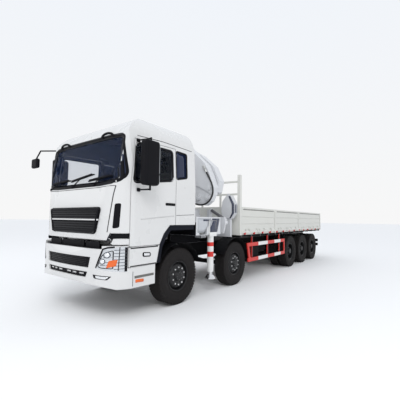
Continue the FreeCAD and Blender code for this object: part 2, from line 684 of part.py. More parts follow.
# step panels below the doors, in front of the wheel arches, and the tilt lugs under the cab
extras = []
for side in (1, -1):
    panel = [(v.door_front - 5, 878), (-4905, 878), (-4835, sill - 6), (v.door_front - 5, sill - 6)]
    skin = prism("YZ", panel, side * (v.cab_half - v.cab_wall), side * v.cab_half)
    tread = block((side * 950, side * (v.cab_half - 1)), (v.door_front + 30, -4930), (sill - 60, sill))
    extras.append(join([skin, tread]))
    lug = block((side * 385 - 20, side * 385 + 20), (v.tilt_y - 28, v.tilt_y + 28), (v.tilt_z - 28, 1340))
    extras.append(lug.cut(rod((side * 385 - 60, v.tilt_y, v.tilt_z), (side * 385 + 60, v.tilt_y, v.tilt_z), 14.3)))
feature("cab_shell", join([shell] + extras))

for side_name, side in (("left", 1), ("right", -1)):
    feature("door_" + side_name, door_solids[side_name])

# Glass: a thin layer of the cab's own form, inside each window
glass_layer = cab_solid(14).cut(cab_solid(14 + v.glass_thick))
panes = [glass_layer.common(prism("XZ", rounded(grown(WINDSCREEN, -1), 70), f - 100, f + 420))]
for side_name, side in (("left", 1), ("right", -1)):
    low, high = side * 1080, side * 1300
    panes.append(glass_layer.common(prism("YZ", rounded(grown(REAR_WINDOW, -1), 40), low, high)))
    pane = glass_layer.common(prism("YZ", rounded(grown(DOOR_WINDOW, -1), 60), low, high))
    feature("door_glass_" + side_name, pane)
feature("cab_glass", group([s for p in panes for s in p.Solids]))

# Grille panel with its slats
grille_frame = prism("XZ", rounded(grown(GRILLE, -1), 40), f - 4, f + 40)
grille_frame = grille_frame.cut(prism("XZ", rounded(grown(GRILLE, -46), 30), f - 20, f + 22))
slats = [grille_frame]
slat_count = 8
slat_pitch = 41
for number in range(slat_count):
    z = 1474 + number * slat_pitch
    reach = 655 + number * slat_pitch * 0.26
    slat = [(f + 2, z), (f + 30, z + 14), (f + 30, z + 26), (f + 2, z + 12)]
    slats.append(prism("YZ", slat, -reach, reach))
feature("cab_grille", join(slats))

# Seats, dashboard and steering wheel
seat_parts = []
for x in (560, -560):
    base = block((x - 210, x + 210), (-4520, -4100), (arch_top + v.cab_wall, 1880))
    cushion = block((x - 240, x + 240), (-4640, -4120), (1870, 2010))
    back = prism("YZ", [(-4230, 1990), (-4110, 1990), (-4010, 2640), (-4090, 2650)], x - 230, x + 230)
    seat_parts.append(join([base, cushion, back]))
dash = prism("YZ", [(f + 180, 1700), (f + 480, 1700), (f + 560, 2080), (f + 300, 2200), (f + 200, 2180)], -1130, 1130)
wheel_axis = Vector(0, 0.5, 0.87).normalize()
wheel_centre = Vector(560, -5070, 2200)
ring = Part.makeTorus(215, 16, wheel_centre, wheel_axis)
column = Part.makeCylinder(34, 560, wheel_centre - wheel_axis * 560, wheel_axis)
spokes = block((-215, 215), (-20, 20), (-10, 10))
spokes.rotate(Vector(0, 0, 0), Vector(1, 0, 0), -29.9)
spokes.translate(wheel_centre)
seat_parts.append(join([dash.common(inner_cab), ring, column.common(inner_cab), spokes]))
feature("cab_interior", group(seat_parts))

# Front mirror on its long arm, at the right front corner of the roof
arm_path = [(-1085, f + 395, 3110), (-1395, f + 20, 3075), (-1455, f - 45, 2880)]
arm = join([rod(arm_path[0], arm_path[1], 14), rod(arm_path[1], arm_path[2], 14),
            Part.makeSphere(14, Vector(*arm_path[1]))])
head = block((-1580, -1330), (f - 85, f - 5), (2700, 2900))
head = head.makeFillet(35, head.Edges)
feature("front_mirror", join([arm.cut(outer_cab), head]))

# Main mirrors, carried by the doors
head = block((1395, 1555), (-5480, -5170), (2215, 2960))
head = head.makeFillet(45, head.Edges)
mirror = [
    head,
    rod((1210, -5370, 3000), (1490, -5320, 3000), 13),
    rod((1475, -5320, 3018), (1475, -5320, 2900), 16),
    rod((v.cab_half + 10, -5370, 2150), (1490, -5320, 2150), 13),
    rod((1475, -5320, 2132), (1475, -5320, 2280), 16),
    block((v.cab_half, v.cab_half + 22), (-5400, -5340), (2120, 2180)),
    block((1190, 1230), (-5400, -5340), (2975, 3025)).cut(outer_cab),
]
mirror = join(mirror)
feature("mirror_left", mirror)
feature("mirror_right", mirrored(mirror))

# Bumper with the lamps in its corners

b = v.bumper_front
BUMPER_BACK = v.door_front - 14


def bumper_solid(inset, drop):
    """Closed bumper form, shrunk by inset in plan and by drop at its top and bottom."""
    i = inset
    half = v.cab_half - 8 - i
    plan = [(half, -4925 - drop), (half, b + 480),
            ((1128 - 0.8 * i, b + 258 + 0.6 * i), (860 - 0.3 * i, b + 70 + i)), ((0, b + i), (-860 + 0.3 * i, b + 70 + i)),
            ((-1128 + 0.8 * i, b + 258 + 0.6 * i), (-half, b + 480)), (-half, -4925 - drop)]
    side_view = [(b + 30 + i, 600 + drop), (b + i, 760), (b + i, 1060), (b + 50 + i, 1220 - drop),
                 (BUMPER_BACK - drop, 1220 - drop), (BUMPER_BACK - drop, 870 - drop), (-4925, 870 - drop),
                 (-4925, 530 + drop), (b + 260, 530 + drop)]
    return prism("XY", plan, 500, 1300).common(prism("YZ", side_view, -1300, 1300))


LAMP = [(815, 862), (860, 960), (950, 1185), (1300, 1222), (1300, 790), (1110, 820)]
LAMP_BACK = BUMPER_BACK - 12
lamp_depth = 70
bumper_outer = bumper_solid(0, 0)
skin = bumper_outer.cut(bumper_solid(v.bumper_wall, v.bumper_wall))
skin = skin.cut(block((-1150, 1150), (-5600, -4800), (400, 1500)))
skin = skin.cut(block((-930, 930), (b - 50, -5000), (1170, 1300)))
lamps = []
for side in (1, -1):
    outline = [(side * px, pz) for px, pz in LAMP]
    lens = bumper_outer.common(prism("XZ", outline, b - 50, LAMP_BACK))
    lamps.append(lens.cut(bumper_solid(lamp_depth, 0)))
    skin = skin.cut(prism("XZ", outline, b - 50, LAMP_BACK))
intake = [(-700, 1032), (700, 1032), (660, 858), (-660, 858)]
slot = [(-640, 790), (640, 790), (600, 700), (-600, 700)]
skin = skin.cut(prism("XZ", intake, b - 50, b + 90)).cut(prism("XZ", slot, b - 50, b + 90))
ties = []
for side in (1, -1):
    ties.append(block((side * (v.rail_half - 70), side * v.rail_half), (b + 30, v.frame_front), (1046, 1078)))
feature("front_bumper", join([skin] + ties))
feature("headlamps", group([s for p in lamps for s in p.Solids]))

layer = bumper_solid(v.bumper_wall, v.bumper_wall).cut(bumper_solid(v.bumper_wall + 16, v.bumper_wall))
band_y = (-5780, -5765)
screen = [prism("XZ", grown(intake, 10), b, b + 120), prism("XZ", grown(slot, 10), b, b + 120),
          block((-60, 60), (b, b + 120), (740, 1145))]
mesh = [layer.common(tool) for tool in screen]
band = block((-800, 800), band_y, (1130, 1280))
for side in (1, -1):
    band = band.cut(block((side * 385 - 32, side * 385 + 32), (-5800, -5700), (1180, 1300)))
mesh.append(band)
mesh.append(block((-60, 60), (b + 62, band_y[1]), (1131, 1141)))
feature("bumper_grille", join(mesh))

# Crane base: outrigger box with two channels, pedestal and slewing ring

z0, z1 = v.box_low, v.box_high
outer_box = block((-v.box_half, v.box_half), (v.box_front, v.box_rear), (z0, z1))
play = v.slide_play
cavities = []
BEAMS = {"left": (1, v.beam_left_y), "right": (-1, v.beam_right_y)}
beam_low = z0 + v.box_wall + 14
beam_z = (beam_low, beam_low + v.beam_height)
for name, (side, y) in BEAMS.items():
    half = v.beam_width / 2
    cavities.append(block((-v.box_half - 10, v.box_half + 10), (y - half - play, y + half + play),
                          (z0 + v.box_wall, beam_z[1] + play)))
base = outer_box.cut(cavities[0]).cut(cavities[1])
ring = rod((v.slew_x, v.slew_y, z1 - 10), (v.slew_x, v.slew_y, z1 + 60), 290)
pedestal = block((v.slew_x - 330, v.slew_x + 330), (v.box_rear - 1, v.slew_y + 300), (1200, z1))
pedestal_two = block((v.slew_x - 330, v.slew_x + 330), (v.slew_y - 300, v.box_rear), (z1 - 24, z1))
saddles = []
for side in (1, -1):
    saddles.append(block((side * (v.rail_half - 90), side * v.rail_half), (v.box_front + 40, v.slew_y + 300),
                         (v.rail_top, z0 + 1)))
pads = []
for name, (side, y) in BEAMS.items():
    for x in (side * (v.box_half - 60), -side * (v.box_half - 500)):
        pads.append(block((x - 50, x + 50), (y - 100, y + 100), (z0 + v.box_wall, beam_low - v.pad_play)))
bracket = prism("XZ", [(700, 1730), (1210, 1730), (1235, 1590), (1180, 1330), (700, 1330)], -2600, -2560)
bracket_arm = block((v.slew_x + 300, 760), (-2620, -2540), (1400, z1))
strut = rod((740, -2520, 1915), (1215, -2520, 1650), 37)
foot_plate = block((690, 760), (-2600, -2480), (1700, 1925))
boss = rod((1165, -2600, 1590), (1165, -2470, 1590), 60)
feature("crane_base", join([base, ring, pedestal, pedestal_two] + saddles + pads
                           + [bracket, bracket_arm, strut, foot_plate, boss]))

# Oil tank behind the crane, on its own bracket
tank_outline = [(840, 1900), (880, 2140), (1010, 2300), (1120, 2290), (1235, 2080), (1235, 1830), (1140, 1700), (900, 1700)]
oil = prism("XZ", tank_outline, v.tank_front, v.tank_rear)
oil_y = (v.tank_front + 40, v.tank_rear - 40)
oil_leg = block((900, 1100), oil_y, (1290, 1710))
oil_bands = [prism("XZ", grown(tank_outline, 6), v.tank_front + at, v.tank_front + at + 22) for at in (12, 112)]
oil_cap = rod((1020, oil_y[0] + 30, 2285), (1020, oil_y[0] + 30, 2335), 36)
oil_arm = block((v.rail_half - 60, 1100), oil_y, (1222, 1300))
oil_post = block((v.rail_half - 60, v.rail_half), oil_y, (v.rail_top, 1230))
feature("oil_tank", join([oil, oil_leg, oil_arm, oil_post, oil_cap] + oil_bands))

# Outrigger beams with their jack tubes, and the jacks' rods and feet

for name, (side, y) in BEAMS.items():
    half = v.beam_width / 2
    end = v.box_half + 10
    beam = block((-side * (v.box_half - 100), side * end), (y - half, y + half), beam_z)
    hollow = block((-side * (v.box_half - 60), side * (end - 30)), (y - half + 12, y + half - 12),
                   (beam_z[0] + 12, beam_z[1] - 12))
    plate = block((side * (v.box_half + 8), side * (v.box_half + 30)), (y - half, y + half), (z0 - 35, beam_z[1]))
    shelf = block((side * (jack_x - 80), side * (v.box_half + 30)), (y - 100, y + 100), (z0 - 35, z0 - 10))
    tube = rod((side * jack_x, y, v.jack_low), (side * jack_x, y, z0 - 30), v.jack_radius)
    gland = v.pin_radius + 8
    bore = rod((side * jack_x, y, v.jack_low - 5), (side * jack_x, y, z0 - 45), gland + v.pin_play)
    feature("outrigger_" + name, join([beam.cut(hollow), plate, shelf, tube]).cut(bore))
    stem = rod((side * jack_x, y, v.foot_low + 40), (side * jack_x, y, z0 - 60), gland)
    foot = Part.makeCone(v.foot_radius, gland + 20, 70, Vector(side * jack_x, y, v.foot_low + 20))
    plate = rod((side * jack_x, y, v.foot_low), (side * jack_x, y, v.foot_low + 20), v.foot_radius)
    feature("jack_" + name, join([stem, foot, plate]))

# Crane column: turret and leaning fork that carries the inner boom

near_y = v.boom_near
far_y = v.boom_near + v.boom_width
turret = rod((v.slew_x, v.slew_y, z1 + 60.3), (v.slew_x, v.slew_y, z1 + 200), 270)
COLUMN = [(100, z1 + 190), (400, z1 + 190), (400, 2450), (240, 2750),
          (v.luff_x + 160, v.luff_z - 70), (v.luff_x - 150, v.luff_z - 70), (-130, 2720), (60, 2400)]
column = prism("XZ", COLUMN, near_y, far_y)
head = rod((v.luff_x, near_y, v.luff_z), (v.luff_x, far_y, v.luff_z), 160)
fork_gap = prism("XZ", [(-460, 3000), (-460, 3450), (60, 3450), (60, 2990)], near_y + 50, far_y - 50)
luff_pin = rod((v.luff_x, near_y, v.luff_z), (v.luff_x, far_y, v.luff_z), v.pin_radius)
lift_base = (220, 2000)
lift_y = (near_y - 100, near_y - 30)
lift_mid = (lift_y[0] + lift_y[1]) / 2
lift_pin = rod((lift_base[0], near_y + 1, lift_base[1]), (lift_base[0], lift_y[0] - 10, lift_base[1]), 30)
lift_boss = rod((lift_base[0], near_y + 1, lift_base[1]), (lift_base[0], lift_y[1] + 3, lift_base[1]), 60)
feature("crane_column", join([join([turret, column, head]).cut(fork_gap), luff_pin, lift_pin, lift_boss]))

# Inner boom: tapered box with its eye, knuckle head and the knuckle's pin

INNER = [(450, 3430), (910, 3007), (1046, 2745), (1160, 2428), (1125, 2246), (843, 2400), (520, 2550),
         (460, 2600), (320, 2820), (100, 3120), (10, 3300), (30, 3500), (250, 3617)]
KNUCKLE = [(470, 2560), (470, 2200), (620, 2035), (900, 2000), (1060, 2110), (1125, 2250), (843, 2420)]
EYE = [(v.luff_x, v.luff_z + 110), (80, 3480), (80, 3200), (v.luff_x, v.luff_z - 110)]
boom = prism("XZ", INNER, near_y, far_y)
knuckle_head = prism("XZ", KNUCKLE, near_y + 30, far_y - 20)
eye_y = (near_y + 55, far_y - 55)
eye = join([prism("XZ", EYE, *eye_y), rod((v.luff_x, eye_y[0], v.luff_z), (v.luff_x, eye_y[1], v.luff_z), 110)])
eye = eye.cut(rod((v.luff_x, near_y, v.luff_z), (v.luff_x, far_y, v.luff_z), v.pin_radius + v.pin_play))
outer_y = (far_y + v.boom_gap, far_y + v.boom_gap + v.outer_width)
fold_pin = rod((v.fold_x, far_y - 1, v.fold_z), (v.fold_x, outer_y[1] + 12, v.fold_z), v.pin_radius)
fold_collar = rod((v.fold_x, far_y - 1, v.fold_z), (v.fold_x, outer_y[0] - 0.3, v.fold_z), 90)
lift_top = (222, 3084)
lift_lug = rod((lift_top[0], near_y + 1, lift_top[1]), (lift_top[0], lift_y[1] + 5, lift_top[1]), 55)
boom_parts = [boom, knuckle_head, eye, fold_pin, fold_collar, lift_lug]
# x, z, radius, thickness: pin ends and covers on the face away from the outer boom
BOSSES = [(1020, 2420, 78, 34), (980, 2190, 62, 30), (700, 2190, 70, 30), (440, 2960, 58, 20)]
for x, z, radius, thick in BOSSES:
    start = near_y + 31
    boom_parts.append(rod((x, start, z), (x, near_y - thick + 12, z), radius))
    boom_parts.append(rod((x, start, z), (x, near_y - thick, z), radius * 0.55))
feature("inner_boom", join(boom_parts))

# Outer boom with the channel for the telescopic section

OUTER = [(1170, 2600), (990, 2970), (600, 3300), (-380, 3860), (-530, 3670), (800, 2400), (960, 2275), (1110, 2330)]
outer = prism("XZ", OUTER, *outer_y)
outer = outer.cut(rod((v.fold_x, outer_y[0] - 5, v.fold_z), (v.fold_x, outer_y[1] + 5, v.fold_z),
                      v.pin_radius + v.pin_play))
tip_low = Vector(-530, 0, 3670)
knee_low = Vector(800, 0, 2400)
along = (tip_low - knee_low).normalize()
across = Vector(along.z, 0, -along.x)
outer_mid = (outer_y[0] + outer_y[1]) / 2
bore_half = v.extension_side / 2 + v.slide_play
centre = tip_low + across * (bore_half + 24) + Vector(0, outer_mid, 0)


def along_boom(start, end, half_y, low, high):
    """Box along the outer boom: start and end from the tip, low and high across it."""
    p = centre + along * start + across * low + Vector(0, -half_y, 0)
    edge_across = across * (high - low)
    wire = Part.makePolygon([p, p + edge_across, p + edge_across + Vector(0, 2 * half_y, 0),
                             p + Vector(0, 2 * half_y, 0), p])
    return Part.Face(wire).extrude(along * (end - start))


section = v.extension_side / 2
channel = along_boom(-1500, 200, bore_half, -bore_half, bore_half)
outer = outer.cut(channel)
pad = along_boom(-160, -40, 40, -bore_half, -section - v.pad_play)
inner_pad = along_boom(-1400, -1280, 40, -bore_half, -section - v.pad_play)
feature("outer_boom", join([outer, pad, inner_pad]))

extension = along_boom(-1450, 150, section, -section, section)
tip_pin = centre + along * 226
ear_one = rod((tip_pin.x, outer_mid - section, tip_pin.z), (tip_pin.x, outer_mid - 32, tip_pin.z), 50)
ear_two = rod((tip_pin.x, outer_mid + 32, tip_pin.z), (tip_pin.x, outer_mid + section, tip_pin.z), 50)
link_one = along_boom(130, 226, section, -30, 30)
slot_tool = along_boom(130, 320, 32, -100, 100)
hook_pin = rod((tip_pin.x, outer_mid - section, tip_pin.z), (tip_pin.x, outer_mid + section, tip_pin.z), 14)
extension = join([join([extension, ear_one, ear_two, link_one]).cut(slot_tool), hook_pin])
feature("boom_extension", extension)

eye = rod((tip_pin.x, outer_mid - 20, tip_pin.z), (tip_pin.x, outer_mid + 20, tip_pin.z), 34)
eye = eye.cut(rod((tip_pin.x, outer_mid - 30, tip_pin.z), (tip_pin.x, outer_mid + 30, tip_pin.z), 14.3))
shank = block((tip_pin.x - 16, tip_pin.x + 16), (outer_mid - 16, outer_mid + 16), (tip_pin.z - 170, tip_pin.z - 20))
ring = Part.makeTorus(60, 17, Vector(tip_pin.x, outer_mid, tip_pin.z - 222), Vector(0, 1, 0))
mouth = block((tip_pin.x - 100, tip_pin.x - 20), (outer_mid - 40, outer_mid + 40), (tip_pin.z - 225, tip_pin.z - 150))
feature("hook", join([eye, shank.cut(mouth), ring.cut(mouth)]))

# Lift cylinder, opened at the rod's eye

barrel_length = 800
barrel = rod((lift_base[0], lift_mid, lift_base[1] + 66), (lift_base[0], lift_mid, lift_base[1] + barrel_length),
             v.lift_barrel_radius)
neck = rod((lift_base[0], lift_mid, lift_base[1] + 35), (lift_base[0], lift_mid, lift_base[1] + 70), 34)
eye = rod((lift_base[0], lift_y[0], lift_base[1]), (lift_base[0], lift_y[1], lift_base[1]), 58)
bore = rod((lift_base[0], lift_mid, lift_base[1] + 120), (lift_base[0], lift_mid, lift_base[1] + barrel_length + 5),
           v.lift_rod_radius + v.pin_play)
pin_bore = rod((lift_base[0], lift_y[0] - 5, lift_base[1]), (lift_base[0], lift_y[1] + 5, lift_base[1]), 30.3)
feature("lift_barrel", join([barrel, neck, eye]).cut(bore).cut(pin_bore))
rod_low = lift_base[1] + 130
stem = rod((lift_base[0], lift_mid, rod_low), (lift_base[0], lift_mid, lift_top[1] - 40), v.lift_rod_radius)
eye = rod((lift_base[0], lift_y[0] + 5, lift_top[1]), (lift_base[0], lift_y[1], lift_top[1]), 52)
eye = eye.cut(rod((lift_base[0], lift_y[0], lift_top[1]), (lift_base[0], lift_y[1] + 5, lift_top[1]), 28))
feature("lift_rod", join([stem.cut(rod((lift_base[0], lift_y[0], lift_top[1]), (lift_base[0], lift_y[1] + 5, lift_top[1]), 28)), eye]))

# Check and write

doc.recompute()
for item in doc.Objects:
    if "Invalid" in item.State or "Error" in item.State:
        raise RuntimeError("%s did not recompute: %s" % (item.Label, item.State))
names = [node.Label for node in nodes]
if len(names) != len(set(names)):
    raise RuntimeError("two nodes share a name")
os.makedirs("parts", exist_ok=True)
for node in nodes:
    shape = node.Shape
    if shape.isNull() or not shape.isValid() or not shape.Solids:
        raise RuntimeError("%s has no valid solid" % node.Label)
    box = shape.BoundBox
    print("%-18s solids %d  x %.0f %.0f  y %.0f %.0f  z %.0f %.0f" % (
        node.Label, len(shape.Solids), box.XMin, box.XMax, box.YMin, box.YMax, box.ZMin, box.ZMax))
for node in nodes:
    node.Shape.exportStep("parts/%s.step" % node.Label)
print("nodes", len(nodes))
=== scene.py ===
"""Looks of the five-axle crane truck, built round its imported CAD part.

Metres. The truck faces -Y, +X is its left side and +Z is up.
"""
import math

import bmesh
import bpy
from mathutils import Matrix, Vector
from mathutils.bvhtree import BVHTree


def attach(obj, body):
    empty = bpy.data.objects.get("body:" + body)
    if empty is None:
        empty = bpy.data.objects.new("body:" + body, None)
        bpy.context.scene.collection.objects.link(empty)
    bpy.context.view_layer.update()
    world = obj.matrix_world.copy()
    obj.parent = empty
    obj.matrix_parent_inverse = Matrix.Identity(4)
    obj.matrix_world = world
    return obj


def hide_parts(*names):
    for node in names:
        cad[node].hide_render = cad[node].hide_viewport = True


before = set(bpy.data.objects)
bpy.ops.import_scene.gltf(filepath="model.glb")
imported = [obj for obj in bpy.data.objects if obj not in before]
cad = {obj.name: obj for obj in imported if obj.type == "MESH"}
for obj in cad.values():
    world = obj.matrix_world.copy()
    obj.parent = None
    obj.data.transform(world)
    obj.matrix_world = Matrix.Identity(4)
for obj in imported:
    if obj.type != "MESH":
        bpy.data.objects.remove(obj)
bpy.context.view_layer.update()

# Driving dimensions, as in the CAD part
TYRE_RADIUS = 0.548
TYRE_HALF = 0.148
RIM_RADIUS = 0.286
FRONT_TRACK = 1.035
DUAL_CENTRE = 0.915
DUAL_OFFSET = 0.17
AXLES = (-4.220, -2.024, 1.927, 3.276, 4.625)
STEERED_AXLES = 2
CAB_FRONT = -5.820
CAB_MIDDLE = (0, -4.75, 2.35)
BRACKET_X = 0.385
SIDES = (("left", 1), ("right", -1))

# Materials. Grain darkens the colour by up to DARK_SHARE of itself and spreads the roughness.
DARK_SHARE = 2.2
ROUGH_SPREAD = 0.12
# how far a face looks inwards or down where it takes the painted shade colour
INWARD = -0.05
DOWNWARD = -0.3
# a pane shines more where it is seen at a slant
SHEEN = 0.16


def maths(tree, operation, first, second):
    """Output of a maths node on two numbers or sockets."""
    node = tree.nodes.new("ShaderNodeMath")
    node.operation = operation
    for socket, value in zip(node.inputs, (first, second)):
        if isinstance(value, (int, float)):
            socket.default_value = value
        else:
            tree.links.new(value, socket)
    return node.outputs[0]


def mixed(tree, factor, low, high):
    """Colour that goes from low to high with the factor."""
    node = tree.nodes.new("ShaderNodeMix")
    node.data_type = "RGBA"
    tree.links.new(factor, node.inputs["Factor"])
    for socket, value in ((node.inputs[6], low), (node.inputs[7], high)):
        if isinstance(value, tuple):
            socket.default_value = (*value, 1)
        else:
            tree.links.new(value, socket)
    return node.outputs[2]


def finish_of(name, colour, rough, metal=0.0, coat=0.0, grain=0.04, grain_size=6.0, bump=0.0,
              bump_size=220.0, bands=(), painted_shade=None, edge=0.0, shine=0.5):
    """Principled material with a fine unevenness.

    bands are (colour, axis, low, high) stretches of the object, painted_shade is a dark colour painted as
    shade on faces that look back towards the cab's middle or down, and edge is how far edges are softened.
    """
    material = bpy.data.materials.new(name)
    material.use_nodes = True
    tree = material.node_tree
    shader = tree.nodes["Principled BSDF"]
    coordinates = tree.nodes.new("ShaderNodeTexCoord")
    split = tree.nodes.new("ShaderNodeSeparateXYZ")
    tree.links.new(coordinates.outputs["Object"], split.inputs[0])
    noise = tree.nodes.new("ShaderNodeTexNoise")
    noise.inputs["Scale"].default_value = grain_size
    noise.inputs["Detail"].default_value = 6
    tree.links.new(coordinates.outputs["Object"], noise.inputs["Vector"])
    dark = tuple(c * (1 - DARK_SHARE * grain) for c in colour)
    shade = mixed(tree, noise.outputs["Fac"], dark, tuple(min(1.0, c * (1 + grain)) for c in colour))
    for band_colour, axis, low, high in bands:
        along = split.outputs["XYZ".index(axis)]
        over = maths(tree, "GREATER_THAN", along, low)
        under = maths(tree, "LESS_THAN", along, high)
        shade = mixed(tree, maths(tree, "MULTIPLY", over, under), shade, band_colour)
    # painted shade: faces that look back towards the cab's middle or down take a dark colour in place of
    # shade
    if painted_shade:
        middle = tree.nodes.new("ShaderNodeVectorMath")
        middle.operation = "SUBTRACT"
        middle.inputs[1].default_value = CAB_MIDDLE
        tree.links.new(coordinates.outputs["Object"], middle.inputs[0])
        facing = tree.nodes.new("ShaderNodeVectorMath")
        facing.operation = "DOT_PRODUCT"
        tree.links.new(middle.outputs[0], facing.inputs[0])
        tree.links.new(coordinates.outputs["Normal"], facing.inputs[1])
        turned = tree.nodes.new("ShaderNodeSeparateXYZ")
        tree.links.new(coordinates.outputs["Normal"], turned.inputs[0])
        hidden = maths(tree, "LESS_THAN", facing.outputs["Value"], INWARD)
        below = maths(tree, "LESS_THAN", turned.outputs["Z"], DOWNWARD)
        shade = mixed(tree, maths(tree, "MAXIMUM", hidden, below), shade, painted_shade)
    tree.links.new(shade, shader.inputs["Base Color"])
    shader.inputs["Metallic"].default_value = metal
    shader.inputs["Coat Weight"].default_value = coat
    shader.inputs["Specular IOR Level"].default_value = shine
    spread = maths(tree, "MULTIPLY_ADD", noise.outputs["Fac"], ROUGH_SPREAD)
    spread.node.inputs[2].default_value = max(0.02, rough - ROUGH_SPREAD / 2)
    tree.links.new(spread, shader.inputs["Roughness"])
    normal = None
    if edge:
        soft = tree.nodes.new("ShaderNodeBevel")
        soft.samples = 4
        soft.inputs["Radius"].default_value = edge
        normal = soft.outputs[0]
    if bump:
        fine = tree.nodes.new("ShaderNodeTexNoise")
        fine.inputs["Scale"].default_value = bump_size
        tree.links.new(coordinates.outputs["Object"], fine.inputs["Vector"])
        relief = tree.nodes.new("ShaderNodeBump")
        relief.inputs["Strength"].default_value = bump
        relief.inputs["Distance"].default_value = 0.002
        tree.links.new(fine.outputs["Fac"], relief.inputs["Height"])
        if normal:
            tree.links.new(normal, relief.inputs["Normal"])
        normal = relief.outputs[0]
    if normal:
        tree.links.new(normal, shader.inputs["Normal"])
    return material


def glass_of(name, tint, clearness, strength):
    """Thin glass: see-through, with a tinted sheen."""
    material = bpy.data.materials.new(name)
    material.use_nodes = True
    tree = material.node_tree
    output = tree.nodes["Material Output"]
    shader = tree.nodes["Principled BSDF"]
    shader.inputs["Base Color"].default_value = (*tint, 1)
    shader.inputs["Roughness"].default_value = 0.03
    clear = tree.nodes.new("ShaderNodeBsdfTransparent")
    clear.inputs[0].default_value = (*clearness, 1)
    blend = tree.nodes.new("ShaderNodeMixShader")
    slope = tree.nodes.new("ShaderNodeLayerWeight")
    slope.inputs["Blend"].default_value = 0.3
    share = maths(tree, "MULTIPLY_ADD", slope.outputs["Facing"], SHEEN)
    share.node.inputs[2].default_value = strength
    tree.links.new(share, blend.inputs[0])
    tree.links.new(clear.outputs[0], blend.inputs[1])
    tree.links.new(shader.outputs[0], blend.inputs[2])
    tree.links.new(blend.outputs[0], output.inputs["Surface"])
    return material


WHITE = (0.67, 0.67, 0.665)
OFF_WHITE = (0.66, 0.66, 0.62)
CRANE_WHITE = (0.63, 0.64, 0.66)
GREY = (0.50, 0.52, 0.55)
NAVY = (0.012, 0.02, 0.055)
BLACK = (0.012, 0.012, 0.014)
RED = (0.62, 0.02, 0.012)
# painted shade for the inside and underside of the cab, whose white paint is dark there only from shade
CAB_PAINTED_SHADE = (0.010, 0.014, 0.028)
SHADOW = (0.16, 0.16, 0.15)

GUARD_BANDS = [(RED, "Y", -1.5, -0.74), (RED, "Y", -0.08, 0.44), (RED, "Y", 0.96, 1.4),
               (RED, "X", -1.189, 1.189)]
JACK_BANDS = [(RED, "Z", 0.818, 0.936), (RED, "Z", 1.057, 1.149)]

# cab paint, with painted shade on the faces that look inwards or down
white = finish_of("white_paint", WHITE, 0.28, coat=0.6, grain=0.015, grain_size=2.0, painted_shade=CAB_PAINTED_SHADE,
                  edge=0.02)
bumper_white = finish_of("bumper_paint", WHITE, 0.30, coat=0.5, grain=0.015, grain_size=2.0, edge=0.015)
deck_white = finish_of("deck_paint", OFF_WHITE, 0.42, coat=0.15, grain=0.03, grain_size=3.0, edge=0.006,
                       bands=[(BLACK, "Z", 0.9, 1.2605)])
bed_white = finish_of("bed_paint", OFF_WHITE, 0.42, coat=0.15, grain=0.03, grain_size=3.0, edge=0.006)
crane_white = finish_of("crane_paint", CRANE_WHITE, 0.33, coat=0.35, grain=0.02, grain_size=3.0, edge=0.01)
crane_grey = finish_of("crane_grey", GREY, 0.4, coat=0.2, grain=0.03, grain_size=5.0, edge=0.01)
striped = finish_of("striped_paint", (0.78, 0.78, 0.77), 0.38, grain=0.02, bands=GUARD_BANDS)
jack_striped = finish_of("jack_paint", (0.78, 0.78, 0.77), 0.35, grain=0.02, bands=JACK_BANDS, edge=0.006)
dark_red = finish_of("hanger_paint", (0.22, 0.012, 0.012), 0.5, grain=0.1)
tank_grey = finish_of("tank_paint", (0.62, 0.63, 0.65), 0.42, grain=0.03, edge=0.01)
navy = finish_of("navy_paint", NAVY, 0.3, coat=0.4, grain=0.05)
black = finish_of("black_steel", (0.007, 0.007, 0.008), 0.6, grain=0.2, grain_size=9.0, edge=0.005,
                  shine=0.06)
plastic = finish_of("black_plastic", (0.007, 0.007, 0.009), 0.55, grain=0.1, bump=0.25, shine=0.08)
flare_black = finish_of("flare_plastic", (0.005, 0.006, 0.012), 0.55, grain=0.1, shine=0.12)
gloss = finish_of("gloss_black", (0.006, 0.006, 0.008), 0.25, grain=0.05, shine=0.15)
rubber = finish_of("tyre_rubber", (0.014, 0.012, 0.012), 0.8, grain=0.25, grain_size=14.0, bump=0.5,
                   bump_size=420.0, shine=0.22)
rim_black = finish_of("rim_black", (0.009, 0.009, 0.010), 0.42, grain=0.15, shine=0.35)
seam = finish_of("seam_dark", (0.03, 0.03, 0.032), 0.7, shine=0.2)
# painted shadow: grey strips under the bed's top rails, where the rails cast shadow
shadow = finish_of("rail_painted_shadow", SHADOW, 0.8, shine=0.2)
tread_grey = finish_of("tread_shade", SHADOW, 0.8, shine=0.2)
nut = finish_of("wheel_nut", (0.66, 0.66, 0.66), 0.28, metal=1.0, grain=0.05)
chrome = finish_of("chrome", (0.82, 0.82, 0.83), 0.10, metal=1.0, grain=0.02)
reflector = finish_of("reflector", (0.86, 0.87, 0.88), 0.16, metal=0.85, grain=0.04, grain_size=40.0)
rod_chrome = finish_of("rod_chrome", (0.72, 0.72, 0.72), 0.16, metal=1.0, grain=0.03)
steel = finish_of("dark_steel", (0.16, 0.16, 0.17), 0.4, metal=0.7, grain=0.15)
fitting = finish_of("hose_fitting", (0.62, 0.62, 0.60), 0.3, metal=1.0, grain=0.08)
hose_black = finish_of("hose_rubber", (0.012, 0.012, 0.012), 0.42, grain=0.1, bump=0.3, bump_size=300.0)
amber = finish_of("amber_lens", (0.78, 0.13, 0.012), 0.2, coat=0.2, grain=0.05, grain_size=60.0)
red_lens = finish_of("red_lens", (0.60, 0.015, 0.012), 0.18, coat=0.8, grain=0.05, grain_size=60.0)
lamp_grey = finish_of("lamp_shade", (0.10, 0.11, 0.13), 0.3, metal=0.3)
clear_lens = finish_of("clear_lens", (0.62, 0.64, 0.66), 0.08, metal=0.55, coat=1.0, grain=0.12,
                       grain_size=26.0)
mirror_glass = finish_of("mirror_glass", (0.70, 0.74, 0.78), 0.03, metal=1.0, grain=0.01)
